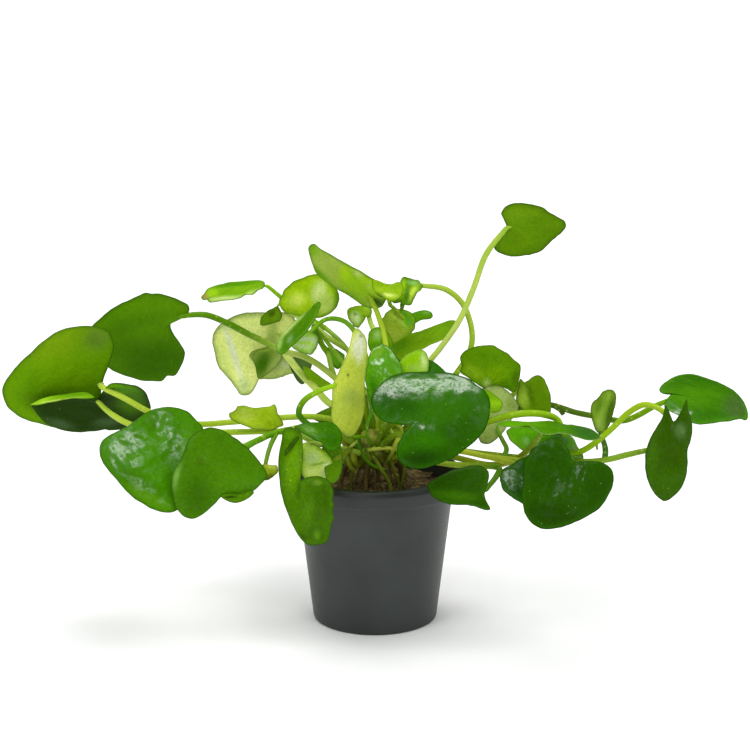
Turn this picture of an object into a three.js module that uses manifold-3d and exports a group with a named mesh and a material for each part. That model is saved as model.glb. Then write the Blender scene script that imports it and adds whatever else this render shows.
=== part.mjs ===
// Potted water snowflake: heart-shaped leaves on long curved stems, rising from a knobby crown
// that stands on the growing plug of a small plain pot. Millimetres, +Z up, +Y away from the front.
// Origin: the centre of the pot's base, on the surface it stands on.

import * as THREE from "three";
import { LoftGeometry } from "three/addons/geometries/LoftGeometry.js";
import { mergeVertices } from "three/addons/utils/BufferGeometryUtils.js";
import Module from "manifold-3d";

// Driving dimensions

const gap = 0.3;

const pot = {
  height: 50,
  baseRadius: 20,
  bodyRadius: 25.5,
  rimRadius: 28.5,
  rimHeight: 6,
  wall: 1.3,
  floor: 2,
  segments: 24,
};

const plug = { top: 44, dome: 1.6, chamfer: 2.5 };

// legs: the place on the crown, and how far each foot stands out from it.
const crown = {
  centre: [0, 0, 56],
  size: [9.5, 6.5, 6.5],
  legRadius: 1.2,
  legs: [[-6, 0, -5, -1], [-2, -3, -1, -3], [2, -3, 3, -2], [6, 0, 3, 1], [0, 4, 1, 3]],
};

const blade = { thickness: 0.8, sectors: 18, smallSectors: 12, bigLength: 19 };

const stem = { radius: 0.95, sides: 5, step: 12, stub: 6 };

const colours = {
  pot: "#202423",
  plug: "#8a7a4e",
  crown: "#6f6a2c",
  stem: "#9dbb3c",
  fresh: "#5fa81c",
  deep: "#2f7d12",
  olive: "#6c9414",
  pale: "#b9cf7c",
  lime: "#8fbf1f",
};

// Leaves.
// base: where the stem meets the blade, in the notch of the heart. tip: the far end of the midrib.
// faces: the way the upper side looks. left and right: the half width, how far its lobe reaches
// back past the base, and where along the midrib it is widest (0 to 1).
// Angles in degrees. arch bends the midrib down, fold and cup raise the two sides,
// twist turns the tip, wave ripples the margin (mm), point sharpens the tip (0 to 1).

const plainLeaf = { arch: 15, fold: 0, cup: 0, twist: 0, wave: 0.3, ripples: 3, point: 0.35, open: 0.12 };

const leaves = {
  leaf_01: {
    base: [-88, 5, 77], tip: [-119.5, 0, 74], faces: [-0.1, 0.9, 0.35],
    left: [22.5, 5, 0.15], right: [15, 2, 0.4], point: 0.6, colour: "olive",
  },
  leaf_02: {
    base: [-68, 30, 92], tip: [-96, 25, 87], faces: [-0.1, 0.9, 0.4],
    left: [12.5, 8, 0.15], right: [23.5, 4, 0.2], point: 0.6, open: 0.2, colour: "olive",
  },
  leaf_03: {
    base: [-88.5, -4, 74], tip: [-90.5, 6, 60.5], faces: [0, 0.8, 0.5],
    left: [18.5, 2.5, 0.3], right: [18.5, 8.5, 0.1], point: 0.1, colour: "deep",
  },
  leaf_04: {
    base: [-59, -40, 65], tip: [-83.5, -45, 68.5], faces: [-0.1, -0.8, 0.6],
    left: [17.5, 5, 0.15], right: [16.5, 8, 0.1], point: 0.5, colour: "fresh",
  },
  leaf_05: {
    base: [-45.5, -50, 56.5], tip: [-50.5, -46, 76.5], faces: [0, -0.85, 0.5],
    left: [15, 5.5, 0.1], right: [15.5, 1, 0.25], open: 0.35, colour: "deep",
  },
  leaf_06: {
    base: [-29, -15, 66], tip: [-46.5, -15, 71.5], faces: [0, -0.8, 0.6],
    left: [3, 0.5, 0.4], right: [6, 1, 0.4], wave: 0.8, colour: "lime",
  },
  leaf_07: {
    base: [-36.5, 45, 101.5], tip: [-58.5, 45, 97], faces: [0, -0.15, 1],
    left: [10, 0.5, 0.5], right: [9, 0.5, 0.5], point: 0, colour: "fresh",
  },
  leaf_08: {
    base: [-22.5, 40, 90.5], tip: [-22, 36, 107], faces: [-0.1, -0.85, 0.5],
    left: [10.5, 1, 0.35], right: [10.5, 1, 0.35], point: 0, colour: "lime",
  },
  leaf_09: {
    base: [-1, 15, 103.5], tip: [-21, 15, 120.5], faces: [0.3, 0.55, 0.75],
    left: [8.5, 10, 0.2], right: [12, 9, 0.2], point: 0.6, colour: "lime",
  },
  leaf_10: {
    base: [14.5, 10, 108.5], tip: [6, 10, 105], faces: [0, -0.8, 0.6],
    left: [4, 1, 0.4], right: [3, 1, 0.4], wave: 0.8, colour: "fresh",
  },
  leaf_11: {
    base: [-33.5, 55, 82], tip: [-45.5, 58, 60], faces: [0, 1, 0.1],
    left: [20, 4, 0.35], right: [3.5, 3, 0.2], point: 0.4, colour: "pale",
  },
  leaf_12: {
    base: [-32.5, 50, 94], tip: [-39, 50, 87], faces: [0, -0.8, 0.5],
    left: [3.5, 0.5, 0.4], right: [3.5, 0.5, 0.4], colour: "deep",
  },
  leaf_13: {
    base: [-21.5, 17, 91.5], tip: [-27.5, 30, 91], faces: [-0.73, -0.29, 0.6],
    left: [10.5, 1, 0.3], right: [10.5, 1, 0.3], colour: "fresh",
  },
  leaf_14: {
    base: [-19, 30, 89], tip: [-25, 30, 82.5], faces: [0, -0.8, 0.5],
    left: [5, 0.5, 0.4], right: [5, 0.5, 0.4], colour: "pale",
  },
  leaf_15: {
    base: [-16, 35, 81], tip: [-10, 35, 75.5], faces: [0, -0.8, 0.5],
    left: [4, 0.5, 0.4], right: [4, 0.5, 0.4], colour: "deep",
  },
  leaf_16: {
    base: [-13, -25, 84], tip: [-2.5, -8, 83], faces: [-0.9, 0.45, 0.1],
    left: [17.5, 1, 0.5], right: [18, 0, 0.5], colour: "pale",
  },
  leaf_17: {
    base: [-2.5, 28, 96.5], tip: [-7, 28, 91.5], faces: [0, -0.8, 0.5],
    left: [4, 1, 0.4], right: [4, 1, 0.4], colour: "lime",
  },
  leaf_18: {
    base: [9, 25, 96.5], tip: [4.5, 25, 85], faces: [0, -0.8, 0.5],
    left: [6.5, 1, 0.4], right: [6.5, 1, 0.4], colour: "pale",
  },
  leaf_19: {
    base: [6.5, 12, 85.5], tip: [26.5, 12, 96], faces: [-0.3, -0.2, 0.9],
    left: [6, 0.5, 0.4], right: [9, 0.5, 0.4], colour: "fresh",
  },
  leaf_20: {
    base: [1.5, -20, 78], tip: [4, -20, 95.5], faces: [0, -0.8, 0.6],
    left: [5, 1, 0.5], right: [6, 1, 0.5], colour: "fresh",
  },
  leaf_21: {
    base: [10.5, -15, 85.5], tip: [16, -15, 93], faces: [0.1, -0.7, 0.7],
    left: [5, 0.5, 0.4], right: [5, 0.5, 0.4], colour: "lime",
  },
  leaf_22: {
    base: [11.5, -50, 78], tip: [35, -46, 81], faces: [0, -0.75, 0.65],
    left: [17, 13, 0.15], right: [14.5, 5, 0.2], point: 0.1, colour: "deep",
  },
  leaf_23: {
    base: [35.5, -3, 78], tip: [37.5, -3, 91.5], faces: [0, -0.8, 0.5],
    left: [9.5, 0, 0.7], right: [9.5, 2, 0.5], point: 0, colour: "olive",
  },
  leaf_24: {
    base: [46.5, 0, 79], tip: [56, 0, 68.5], faces: [0, -0.8, 0.5],
    left: [5.5, 0.5, 0.4], right: [5, 0.5, 0.4], colour: "olive",
  },
  leaf_25: {
    base: [39, -5, 64], tip: [40, -5, 78.5], faces: [0, 0.9, 0.3],
    left: [6.5, 1, 0.4], right: [6.5, 4.5, 0.4], colour: "pale",
  },
  leaf_26: {
    base: [36, -15, 72.5], tip: [38, -15, 79.5], faces: [0, -0.8, 0.5],
    left: [2.5, 0.5, 0.4], right: [3, 0.5, 0.4], colour: "lime",
  },
  leaf_27: {
    base: [51.5, -20, 70.5], tip: [50, -39, 71], faces: [0.12, 0, 1],
    left: [18, 1, 0.3], right: [14, 1, 0.3], colour: "fresh",
  },
  leaf_28: {
    base: [60, -14, 64], tip: [42, -14, 66.5], faces: [0, -0.6, 0.8],
    left: [7, 0.5, 0.4], right: [6, 0.5, 0.4], colour: "fresh",
  },
  leaf_29: {
    base: [59.5, -45, 65.5], tip: [50, -49, 46.5], faces: [0, -0.85, 0.5],
    left: [13.5, 2, 0.1], right: [12, 5, 0.4], point: 0, colour: "deep",
  },
  leaf_30: {
    base: [51.5, -35, 58.5], tip: [37.5, -35, 57.5], faces: [0, -0.8, 0.5],
    left: [8, 0.5, 0.4], right: [6, 0.5, 0.4], point: 0, colour: "deep",
  },
  leaf_31: {
    base: [33.5, -45, 56.5], tip: [15.5, -45, 57.5], faces: [0, -0.6, 0.8],
    left: [6.5, 1.5, 0.2], right: [9, 1, 0.3], colour: "deep",
  },
  leaf_32: {
    base: [72, -5, 63], tip: [74, -5, 78], faces: [0, -0.9, 0.3],
    left: [4.5, 0, 0.7], right: [4.5, 0, 0.7], fold: 25, point: 0.1, colour: "olive",
  },
  leaf_33: {
    base: [93.5, -10, 76], tip: [118, -10, 69.5], faces: [0, -0.32, 0.95],
    left: [15, 5, 0.3], right: [11, 5, 0.3], colour: "fresh",
  },
  leaf_34: {
    base: [91.5, -25, 73], tip: [89.5, -25, 47], faces: [0, -1, 0.2],
    left: [7, 6.5, 0.4], right: [7.5, 4.5, 0.4], fold: 15, point: 0.2, colour: "deep",
  },
  leaf_35: {
    base: [-22.5, -45, 58.5], tip: [-18, -47, 39.5], faces: [0, -0.95, 0.2],
    left: [9, 2, 0.3], right: [7, 18.5, 0.3], open: 0.05, point: 0.1, colour: "deep",
  },
  leaf_36: {
    base: [-24.5, -35, 74], tip: [-10.5, -35, 68], faces: [0, -0.7, 0.7],
    left: [5, 0.5, 0.5], right: [4, 0.5, 0.5], point: 0, colour: "deep",
  },
  leaf_37: {
    base: [-11.5, -30, 62.5], tip: [-22.5, -30, 57], faces: [0, 0.8, 0.5],
    left: [4.5, 0.5, 0.4], right: [4.5, 0.5, 0.4], colour: "pale",
  },
  leaf_38: {
    base: [42, 10, 127.5], tip: [62, 10, 127], faces: [0, 0.93, 0.35],
    left: [11, 5, 0.15], right: [8.7, 3, 0.2], point: 0.7, open: 0.2, colour: "olive",
  },
  leaf_39: {
    base: [-31, 52, 77.5], tip: [-32, 53, 67], faces: [0, -1, 0.3],
    left: [9, 0.5, 0.3], right: [11, 0.5, 0.3], point: 0, colour: "deep",
  },
  leaf_40: {
    base: [89, -18, 62], tip: [96, -18, 66], faces: [0, -0.8, 0.6],
    left: [2.5, 0.5, 0.4], right: [2.5, 0.5, 0.4], colour: "fresh",
  },
  leaf_41: {
    base: [-33.5, -40, 62.5], tip: [-27.5, -40, 60], faces: [0, -0.8, 0.6],
    left: [2, 0.5, 0.4], right: [2, 0.5, 0.4], colour: "olive",
  },
};

// Stems.
// Each stem is a cluster of stalks that share a root on the crown. A stalk is named after the leaf
// that it carries and is given by the points it runs through, from the crown outwards.

const stems = {
  stem_01: {
    leaf_01: [[-7, -1, 56], [-12, -3, 61], [-19, -3, 65.5], [-30, -2, 66.2], [-45, 0, 65.7], [-57, -3, 66.3],
      [-66, -7, 68.7], [-72.5, -11, 72.3], [-79, -12, 76.5], [-83.5, -9, 79]],
    leaf_03: [[-12, -3, 61], [-18, -8, 63.5], [-30, -11, 65.3], [-52, -13, 65.5], [-67, -14, 66],
      [-74, -14, 67], [-79, -13, 69], [-84, -10, 72]],
  },
  stem_02: {
    leaf_05: [[-5, -4, 58], [-14, -12, 66], [-26.5, -22, 69], [-34.5, -34, 69.5], [-40, -43, 68],
      [-44, -46, 61]],
    leaf_04: [[-34.5, -34, 69.5], [-42, -35, 66.5], [-52, -36, 64]],
    leaf_06: [[-14, -12, 66], [-21, -14, 66.5]],
    leaf_16: [[-14, -12, 66], [-20, -21, 69], [-25, -25, 75], [-23.5, -26, 79.5], [-18.5, -26, 82.5]],
    leaf_41: [[-26.5, -22, 69], [-30, -30, 68], [-32, -37, 65.5]],
  },
  stem_03: {
    leaf_02: [[-4, 4, 59], [-6.5, 12, 69], [-13.5, 25, 74], [-23.5, 35, 78.5], [-31, 40, 80], [-38, 42, 82.5],
      [-45.5, 40, 87], [-54, 33, 92], [-61, 29.5, 92.5]],
    leaf_15: [[-13.5, 25, 74], [-15, 32, 77]],
    leaf_11: [[-5, 8, 65], [-13, 20, 68], [-21, 35, 71.5], [-29, 49, 76.5]],
    leaf_39: [[-21, 35, 71.5], [-28, 46, 74]],
  },
  stem_04: {
    leaf_07: [[-1, 4, 60], [-4.5, 20, 74], [-9.5, 32, 82], [-17, 42, 87], [-24, 46, 90.5], [-31, 48, 95.5]],
    leaf_08: [[-9.5, 32, 82], [-17, 36, 86]],
    leaf_12: [[-17, 42, 87], [-25, 48, 89], [-30, 51, 91]],
  },
  stem_05: {
    leaf_09: [[1, 1, 60], [1, 1, 65], [4, 4, 78], [3.5, 7, 89], [2.5, 10, 93.5], [1, 12, 98]],
    leaf_17: [[3.5, 6, 84], [1.5, 18, 88], [-1.5, 28, 92]],
    leaf_13: [[1, 1, 65], [-2, 2, 77], [-3, 6, 86], [-6, 10, 92], [-10, 14, 95.5], [-16, 17, 95.5]],
    leaf_14: [[-2, 1.5, 74], [-7, 12, 78], [-13, 24, 82.5]],
  },
  stem_06: {
    leaf_10: [[5.5, 3.5, 58], [17.5, 5, 70], [26, 8, 79], [31, 12, 86.5], [31.5, 14, 92.5], [28.5, 15, 101],
      [23, 14, 106]],
  },
  stem_07: {
    leaf_38: [[4, 0, 60], [12, 0, 76], [17.5, 0, 85.5], [21, 2, 89.5], [27, 4, 98], [31.5, 6, 108],
      [35.5, 7, 119]],
  },
  stem_08: {
    leaf_22: [[1, -5, 58], [6, -18, 66], [11, -40, 72]],
    leaf_20: [[1, -5, 58], [2, -12, 66], [2, -17, 72]],
    leaf_21: [[1.5, -6, 60], [6, -10, 70], [9, -13, 78]],
  },
  stem_09: {
    leaf_18: [[2.5, 5, 58], [7, 14, 76], [9, 27, 89]],
    leaf_19: [[6.5, 12.5, 74], [6, 13, 80]],
  },
  stem_10: {
    leaf_23: [[6.5, 0, 59], [22, 0, 65], [33, 0, 72]],
    leaf_24: [[22, 0, 65], [36, 2, 69], [44, 3, 73]],
    leaf_26: [[14, 0, 62], [24, -5, 66], [33, -12, 69]],
  },
  stem_11: {
    leaf_33: [[7, 2.5, 56], [24, 4, 60], [40, 6, 65], [50, 8, 69], [57, 8, 69], [65, 6, 67], [72.5, 4, 66],
      [79.5, -6, 67.5], [84, -8, 70], [88.5, -9, 73]],
  },
  stem_12: {
    leaf_34: [[8, -1, 55], [25, -4, 57], [36, -10, 57.5], [49, -14, 57.5], [64, -18, 60.5], [69, -18, 63.5],
      [74, -18, 68], [79.5, -18, 73.5], [84, -20, 76.5], [88.5, -22, 75.5]],
    leaf_40: [[57, -16, 58.5], [65, -20, 58], [72, -20, 58.5], [80, -20, 60.5]],
    leaf_32: [[72, -20, 58.5], [72, -12, 60]],
  },
  stem_13: {
    leaf_28: [[6, -3.5, 56], [10.5, -4.5, 57.5], [27, -10, 64.5], [36.5, -14, 69], [41, -14, 71],
      [47, -15, 73], [53, -15, 72.5], [58, -12, 69]],
    leaf_27: [[10.5, -4.5, 57.5], [25, -8, 56], [36, -14, 55.5], [43, -18, 58.5], [49, -20, 64]],
    leaf_25: [[39.5, -16, 57], [41.5, -15, 60], [40.5, -9, 62]],
  },
  stem_14: {
    leaf_29: [[5, -5, 55], [9.5, -8, 56], [25, -14.5, 60], [36, -20, 59.5], [48, -29, 60.5],
      [56, -40, 62]],
    leaf_30: [[36, -20, 59.5], [46, -29, 59]],
    leaf_31: [[9.5, -8, 56], [23.5, -16, 56], [32.5, -23, 57.5], [38, -30, 59], [37, -39, 59]],
  },
  stem_15: {
    leaf_35: [[-3, -5, 56], [-12, -18, 62], [-18, -28, 65.5], [-20, -35, 65.5], [-22, -42, 62]],
    leaf_36: [[-12, -18, 62], [-20, -27, 67], [-24, -32, 71]],
    leaf_37: [[-8, -12, 59.5], [-9, -22, 61.5]],
  },
};

// Solids

const wasm = await Module();
wasm.setup();

// Drops the flat triangles that a ring shrunk to a point leaves behind.
function solidOf(geometry) {
  const bare = new THREE.BufferGeometry();
  bare.setAttribute("position", geometry.getAttribute("position"));
  bare.setIndex(geometry.index);
  const merged = mergeVertices(bare, 1e-3);
  const corners = merged.index.array;
  const kept = [];
  for (let i = 0; i < corners.length; i += 3) {
    const [a, b, c] = corners.subarray(i, i + 3);
    if (a !== b && b !== c && c !== a) kept.push(a, b, c);
  }
  const mesh = new wasm.Mesh({
    numProp: 3,
    vertProperties: merged.attributes.position.array,
    triVerts: new Uint32Array(kept),
  });
  return new wasm.Manifold(mesh);
}

function geometryOf(solid) {
  const mesh = solid.getMesh();
  const geometry = new THREE.BufferGeometry();
  geometry.setAttribute("position", new THREE.BufferAttribute(new Float32Array(mesh.vertProperties), 3));
  geometry.setIndex(new THREE.BufferAttribute(new Uint32Array(mesh.triVerts), 1));
  const flat = geometry.toNonIndexed();
  flat.computeVertexNormals();
  return flat;
}

// A stalk's end that a blade's clearance cuts loose is left out; anything bigger is a mistake.
function withoutStubs(solid, name) {
  const bodies = solid.decompose().sort((a, b) => b.volume() - a.volume());
  if (bodies.length > 1 && bodies[1].volume() > stem.stub) {
    throw new Error(`${name}: two stalks aren't joined`);
  }
  return bodies[0];
}

const vector = (v) => new THREE.Vector3(...v);

// Leaf blades

function frameOf(leaf) {
  const base = vector(leaf.base);
  const along = vector(leaf.tip).sub(base);
  const length = along.length();
  along.normalize();
  const up = vector(leaf.faces);
  up.addScaledVector(along, -up.dot(along)).normalize();
  const side = new THREE.Vector3().crossVectors(up, along);
  return { base, along, side, up, length };
}

// One half of the flat heart, from the notch round the lobe to the tip.
function halfOutline([width, lobe, at], leaf, length, points) {
  const widest = at * length;
  const back = -1.3 * lobe;
  const round = new THREE.CubicBezierCurve(
    new THREE.Vector2(0, 0),
    new THREE.Vector2(back, leaf.open * width),
    new THREE.Vector2(back, width),
    new THREE.Vector2(widest, width),
  );
  const side = new THREE.CubicBezierCurve(
    new THREE.Vector2(widest, width),
    new THREE.Vector2(widest + 0.55 * (length - widest), width),
    new THREE.Vector2(length * (1 - 0.12 * leaf.point), width * (0.6 - 0.5 * leaf.point)),
    new THREE.Vector2(length, 0),
  );
  const first = Math.floor(points / 2);
  return [...round.getPoints(first), ...side.getPoints(points - first).slice(1)];
}

function outlineOf(leaf, length) {
  const half = (length > blade.bigLength ? blade.sectors : blade.smallSectors) / 2;
  const left = halfOutline(leaf.left, leaf, length, half);
  const right = halfOutline(leaf.right, leaf, length, half);
  const mirrored = right.slice(1, -1).reverse().map((p) => new THREE.Vector2(p.x, -p.y));
  return [...left, ...mirrored];
}

// A point of the blade: u along the midrib, v across it, lift off its middle surface.
function bladePoint(leaf, frame, u, v, lift) {
  const rad = THREE.MathUtils.degToRad;
  const halfWidth = v >= 0 ? leaf.left[0] : leaf.right[0];
  const sign = Math.sign(v);
  const reach = Math.abs(v);
  const fold = rad(leaf.fold);
  const bend = rad(leaf.cup || 0.01) / halfWidth;
  const slope = sign === 0 ? 0 : fold + bend * reach;
  let across = sign * (Math.sin(fold + bend * reach) - Math.sin(fold)) / bend;
  let height = (Math.cos(fold) - Math.cos(fold + bend * reach)) / bend;
  across -= sign * Math.sin(slope) * lift;
  height += Math.cos(slope) * lift;
  const turn = rad(leaf.twist) * u / frame.length;
  const y = across * Math.cos(turn) - height * Math.sin(turn);
  const h = across * Math.sin(turn) + height * Math.cos(turn);
  const arch = rad(leaf.arch || 0.01);
  const radius = frame.length / (2 * Math.sin(arch / 2));
  const phi = arch * (u / frame.length - 0.5);
  const x = radius * (Math.sin(phi) + Math.sin(arch / 2)) + h * Math.sin(phi);
  const z = radius * (Math.cos(phi) - Math.cos(arch / 2)) + h * Math.cos(phi);
  return frame.base.clone()
    .addScaledVector(frame.along, x)
    .addScaledVector(frame.side, y)
    .addScaledVector(frame.up, z);
}

// A thin pillow of rings from the top's middle over the margin to the underside's middle.
// grow pads the blade, for cutting a stem back from it.
function bladeSolid(leaf, grow = 0) {
  const frame = frameOf(leaf);
  const outline = outlineOf(leaf, frame.length);
  const centre = new THREE.Vector2(0.3 * frame.length, 0);
  const inner = frame.length > blade.bigLength ? [0, 0.4, 0.75] : [0, 0.6];
  const ring = (r, side) => outline.map((p, i) => {
    const flat = p.clone().sub(centre);
    flat.multiplyScalar(r * (1 + grow / Math.max(flat.length(), 1))).add(centre);
    const phase = 2 * Math.PI * leaf.ripples * i / outline.length;
    const half = blade.thickness / 2 * Math.sqrt(Math.max(0, 1 - r * r)) + grow;
    const lift = side * half + leaf.wave * r * r * Math.sin(phase);
    return bladePoint(leaf, frame, flat.x, flat.y, lift);
  });
  const top = inner.map((r) => ring(r, 1));
  const bottom = inner.map((r) => ring(r, -1)).reverse();
  const margin = grow > 0 ? [ring(1, 1), ring(1, -1)] : [ring(1, 0)];
  return solidOf(new LoftGeometry([...top, ...margin, ...bottom]));
}

// Stalks and crown

function stalkSolid(points, radius = stem.radius) {
  const path = new THREE.CatmullRomCurve3(points, false, "centripetal");
  const circle = new THREE.EllipseCurve(0, 0, radius, radius).getSpacedPoints(stem.sides);
  const ring = new THREE.Shape(circle.slice(0, -1));
  const steps = Math.max(2, Math.round(path.getLength() / stem.step));
  return solidOf(new THREE.ExtrudeGeometry(ring, { extrudePath: path, steps, bevelEnabled: false }));
}

// A stalk ends just under its blade, so that its side touches the notch from below.
function stalkPoints(route, leaf) {
  const { base, up, along } = frameOf(leaf);
  const end = base.addScaledVector(up, -(blade.thickness / 2 + 0.8 * stem.radius)).addScaledVector(along, 1);
  return [...route.map(vector), end];
}

function lump(grow = 0) {
  const [a, b, c] = crown.size.map((r) => r + grow);
  const ball = new THREE.SphereGeometry(1, 12, 8).scale(a, b, c).translate(...crown.centre);
  return solidOf(ball);
}

function crownSolid() {
  const feet = crown.legs.map(([x, y, dx, dy]) => stalkSolid([
    new THREE.Vector3(x, y, crown.centre[2]),
    new THREE.Vector3(x + 0.7 * dx, y + 0.7 * dy, (crown.centre[2] + plug.top) / 2),
    new THREE.Vector3(x + dx, y + dy, plug.top + 2 * gap),
  ], crown.legRadius));
  return feet.reduce((a, b) => a.add(b), lump());
}

function turned(profile) {
  const points = profile.map((p) => new THREE.Vector2(...p));
  return solidOf(new THREE.LatheGeometry(points, pot.segments).rotateX(Math.PI / 2));
}

// Assembly

const part = new THREE.Group();
part.name = "potted_water_snowflake";

function addMesh(name, geometry, colour) {
  const material = new THREE.MeshStandardMaterial({ color: colour, roughness: 0.5 });
  const mesh = new THREE.Mesh(geometry, material);
  mesh.name = name;
  part.add(mesh);
}

const fullLeaf = (name) => ({ ...plainLeaf, ...leaves[name] });

for (const name of Object.keys(leaves)) {
  const leaf = fullLeaf(name);
  addMesh(name, geometryOf(bladeSolid(leaf)), colours[leaf.colour]);
}

const heart = crownSolid();
addMesh("crown", geometryOf(heart), colours.crown);

const paddedCrown = lump(gap);
for (const [name, stalks] of Object.entries(stems)) {
  const parts = Object.entries(stalks).map(([leaf, route]) => (
    stalkSolid(stalkPoints(route, fullLeaf(leaf)))
  ));
  let cluster = parts.reduce((a, b) => a.add(b)).subtract(paddedCrown);
  for (const leaf of Object.keys(stalks)) {
    cluster = cluster.subtract(bladeSolid(fullLeaf(leaf), gap));
  }
  addMesh(name, geometryOf(withoutStubs(cluster, name)), colours.stem);
}

const tilt = (pot.bodyRadius - pot.baseRadius) / (pot.height - pot.rimHeight);
const innerRadius = (z) => pot.baseRadius + tilt * z - pot.wall;

const potSolid = turned([
  [0, 0],
  [pot.baseRadius, 0],
  [pot.bodyRadius, pot.height - pot.rimHeight],
  [pot.rimRadius - 0.6, pot.height - pot.rimHeight],
  [pot.rimRadius, pot.height - pot.rimHeight + 0.6],
  [pot.rimRadius, pot.height - 0.8],
  [pot.rimRadius - 0.8, pot.height],
  [innerRadius(pot.height) + 0.8, pot.height],
  [innerRadius(pot.height), pot.height - 0.8],
  [innerRadius(pot.floor), pot.floor],
  [0, pot.floor],
]);
addMesh("pot", geometryOf(potSolid), colours.pot);

const plugFoot = pot.floor + gap;
const plugSolid = turned([
  [0, plugFoot],
  [innerRadius(plugFoot) - gap, plugFoot],
  [innerRadius(plug.top - plug.dome) - gap, plug.top - plug.dome],
  [innerRadius(plug.top) - gap - plug.chamfer, plug.top],
  [0, plug.top],
]);
addMesh("plug", geometryOf(plugSolid), colours.plug);

export default part;
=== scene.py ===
import math

import bmesh
import bpy
import mathutils
import numpy as np
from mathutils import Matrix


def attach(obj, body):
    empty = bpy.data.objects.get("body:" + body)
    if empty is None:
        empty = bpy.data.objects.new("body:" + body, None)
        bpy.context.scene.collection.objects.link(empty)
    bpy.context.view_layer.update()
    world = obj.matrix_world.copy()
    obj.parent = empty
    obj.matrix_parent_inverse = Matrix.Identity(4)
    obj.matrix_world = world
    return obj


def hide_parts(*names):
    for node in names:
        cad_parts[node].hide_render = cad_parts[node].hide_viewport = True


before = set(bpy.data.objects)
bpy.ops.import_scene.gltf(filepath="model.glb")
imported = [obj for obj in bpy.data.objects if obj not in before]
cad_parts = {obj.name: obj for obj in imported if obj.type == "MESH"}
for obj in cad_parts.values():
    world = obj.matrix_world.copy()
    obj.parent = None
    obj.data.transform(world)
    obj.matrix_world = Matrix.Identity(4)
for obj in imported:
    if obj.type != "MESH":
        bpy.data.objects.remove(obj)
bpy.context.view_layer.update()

# A potted water snowflake. Sizes are in millimetres here and become metres when a mesh is made.
mm = 0.001
looseTurn = 6.28  # about one full turn, for random starts
scene = bpy.context.scene


def linear(colour):
    # "#rrggbb" to linear red, green, blue; three numbers stay as they are
    if not isinstance(colour, str):
        return colour
    channels = [int(colour[i:i + 2], 16) / 255 for i in (1, 3, 5)]
    return [c / 12.92 if c <= 0.04045 else ((c + 0.055) / 1.055) ** 2.4 for c in channels]


def unit(v):
    return v / np.linalg.norm(v)


# Shader maths written as expressions
class Socket:
    def __init__(self, tree, link):
        self.tree = tree
        self.link = link

    def mathNode(self, operation, a, b=None):
        node = self.tree.nodes.new("ShaderNodeMath")
        node.operation = operation
        for i, value in enumerate((a, b)):
            if isinstance(value, Socket):
                self.tree.links.new(value.link, node.inputs[i])
            elif value is not None:
                node.inputs[i].default_value = value
        return Socket(self.tree, node.outputs[0])

    def __add__(self, other):
        return self.mathNode("ADD", self, other)

    def __radd__(self, other):
        return self.mathNode("ADD", other, self)

    def __sub__(self, other):
        return self.mathNode("SUBTRACT", self, other)

    def __rsub__(self, other):
        return self.mathNode("SUBTRACT", other, self)

    def __mul__(self, other):
        return self.mathNode("MULTIPLY", self, other)

    def __rmul__(self, other):
        return self.mathNode("MULTIPLY", other, self)

    def __pow__(self, other):
        return self.mathNode("POWER", self, other)

    def clamped(self):
        out = self.mathNode("ADD", self, 0.0)
        out.link.node.use_clamp = True
        return out


class Finish:
    # a material, with one method for any node
    def __init__(self, name, **constants):
        self.material = bpy.data.materials.new(name)
        self.material.use_nodes = True
        self.tree = self.material.node_tree
        self.shader = self.tree.nodes["Principled BSDF"]
        for socket, value in constants.items():
            self.shader.inputs[socket.replace("_", " ")].default_value = value

    def node(self, kind, settings=None, out=0, **sockets):
        node = self.tree.nodes.new("ShaderNode" + kind)
        for key, value in (settings or {}).items():
            if key == "stops":
                ramp = node.color_ramp
                while len(ramp.elements) < len(value):
                    ramp.elements.new(0.5)
                for element, (place, colour) in zip(ramp.elements, value):
                    element.position = place
                    element.color = (*linear(colour), 1)
            else:
                setattr(node, key, value)
        for name, value in sockets.items():
            socket = node.inputs[int(name[1:])] if name[0] == "i" and name[1:].isdigit() else node.inputs[name]
            if isinstance(value, Socket):
                self.tree.links.new(value.link, socket)
            else:
                socket.default_value = value
        return Socket(self.tree, node.outputs[out])

    def mix(self, factor, a, b, mode="MIX"):
        low, high = [v if isinstance(v, Socket) else (*linear(v), 1) for v in (a, b)]
        return self.node("Mix", {"data_type": "RGBA", "blend_type": mode}, 2, i0=factor, i6=low, i7=high)

    def place(self):
        return self.node("TexCoord", out=3)

    def noise(self, size, detail=2.0, rough=0.5):
        # size of one patch, in millimetres
        return self.node("TexNoise", Vector=self.place(), Scale=1 / (size * mm), Detail=detail, Roughness=rough)

    def cells(self, size, feature):
        # size of one cell, in millimetres
        return self.node("TexVoronoi", {"feature": feature}, Vector=self.place(), Scale=1 / (size * mm))

    def ramp(self, value, *stops):
        return self.node("ValToRGB", {"stops": stops}, Fac=value)

    def shade(self, low, high, value):
        # a grey slope: 0 at low, 1 at high
        return self.node("MapRange", None, 0, Value=value, i1=low, i2=high)

    def attribute(self, name, out=2):
        # out 0 is its colour, out 2 its number
        return self.node("Attribute", {"attribute_name": name}, out)

    def bump(self, height, depth, strength=1.0, normal=None):
        # depth in millimetres
        more = {"Normal": normal} if normal else {}
        return self.node("Bump", None, 0, Strength=strength, Distance=depth * mm, Height=height, **more)

    def feed(self, socket, value):
        self.tree.links.new(value.link, self.shader.inputs[socket])


def addMesh(name, vertices, faces, material, smooth=True):
    mesh = bpy.data.meshes.new(name)
    mesh.from_pydata([tuple(v) for v in np.asarray(vertices) * mm], [], faces)
    mesh.materials.append(material)
    mesh.shade_smooth() if smooth else mesh.shade_flat()
    piece = bpy.data.objects.new(name, mesh)
    scene.collection.objects.link(piece)
    return piece


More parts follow.
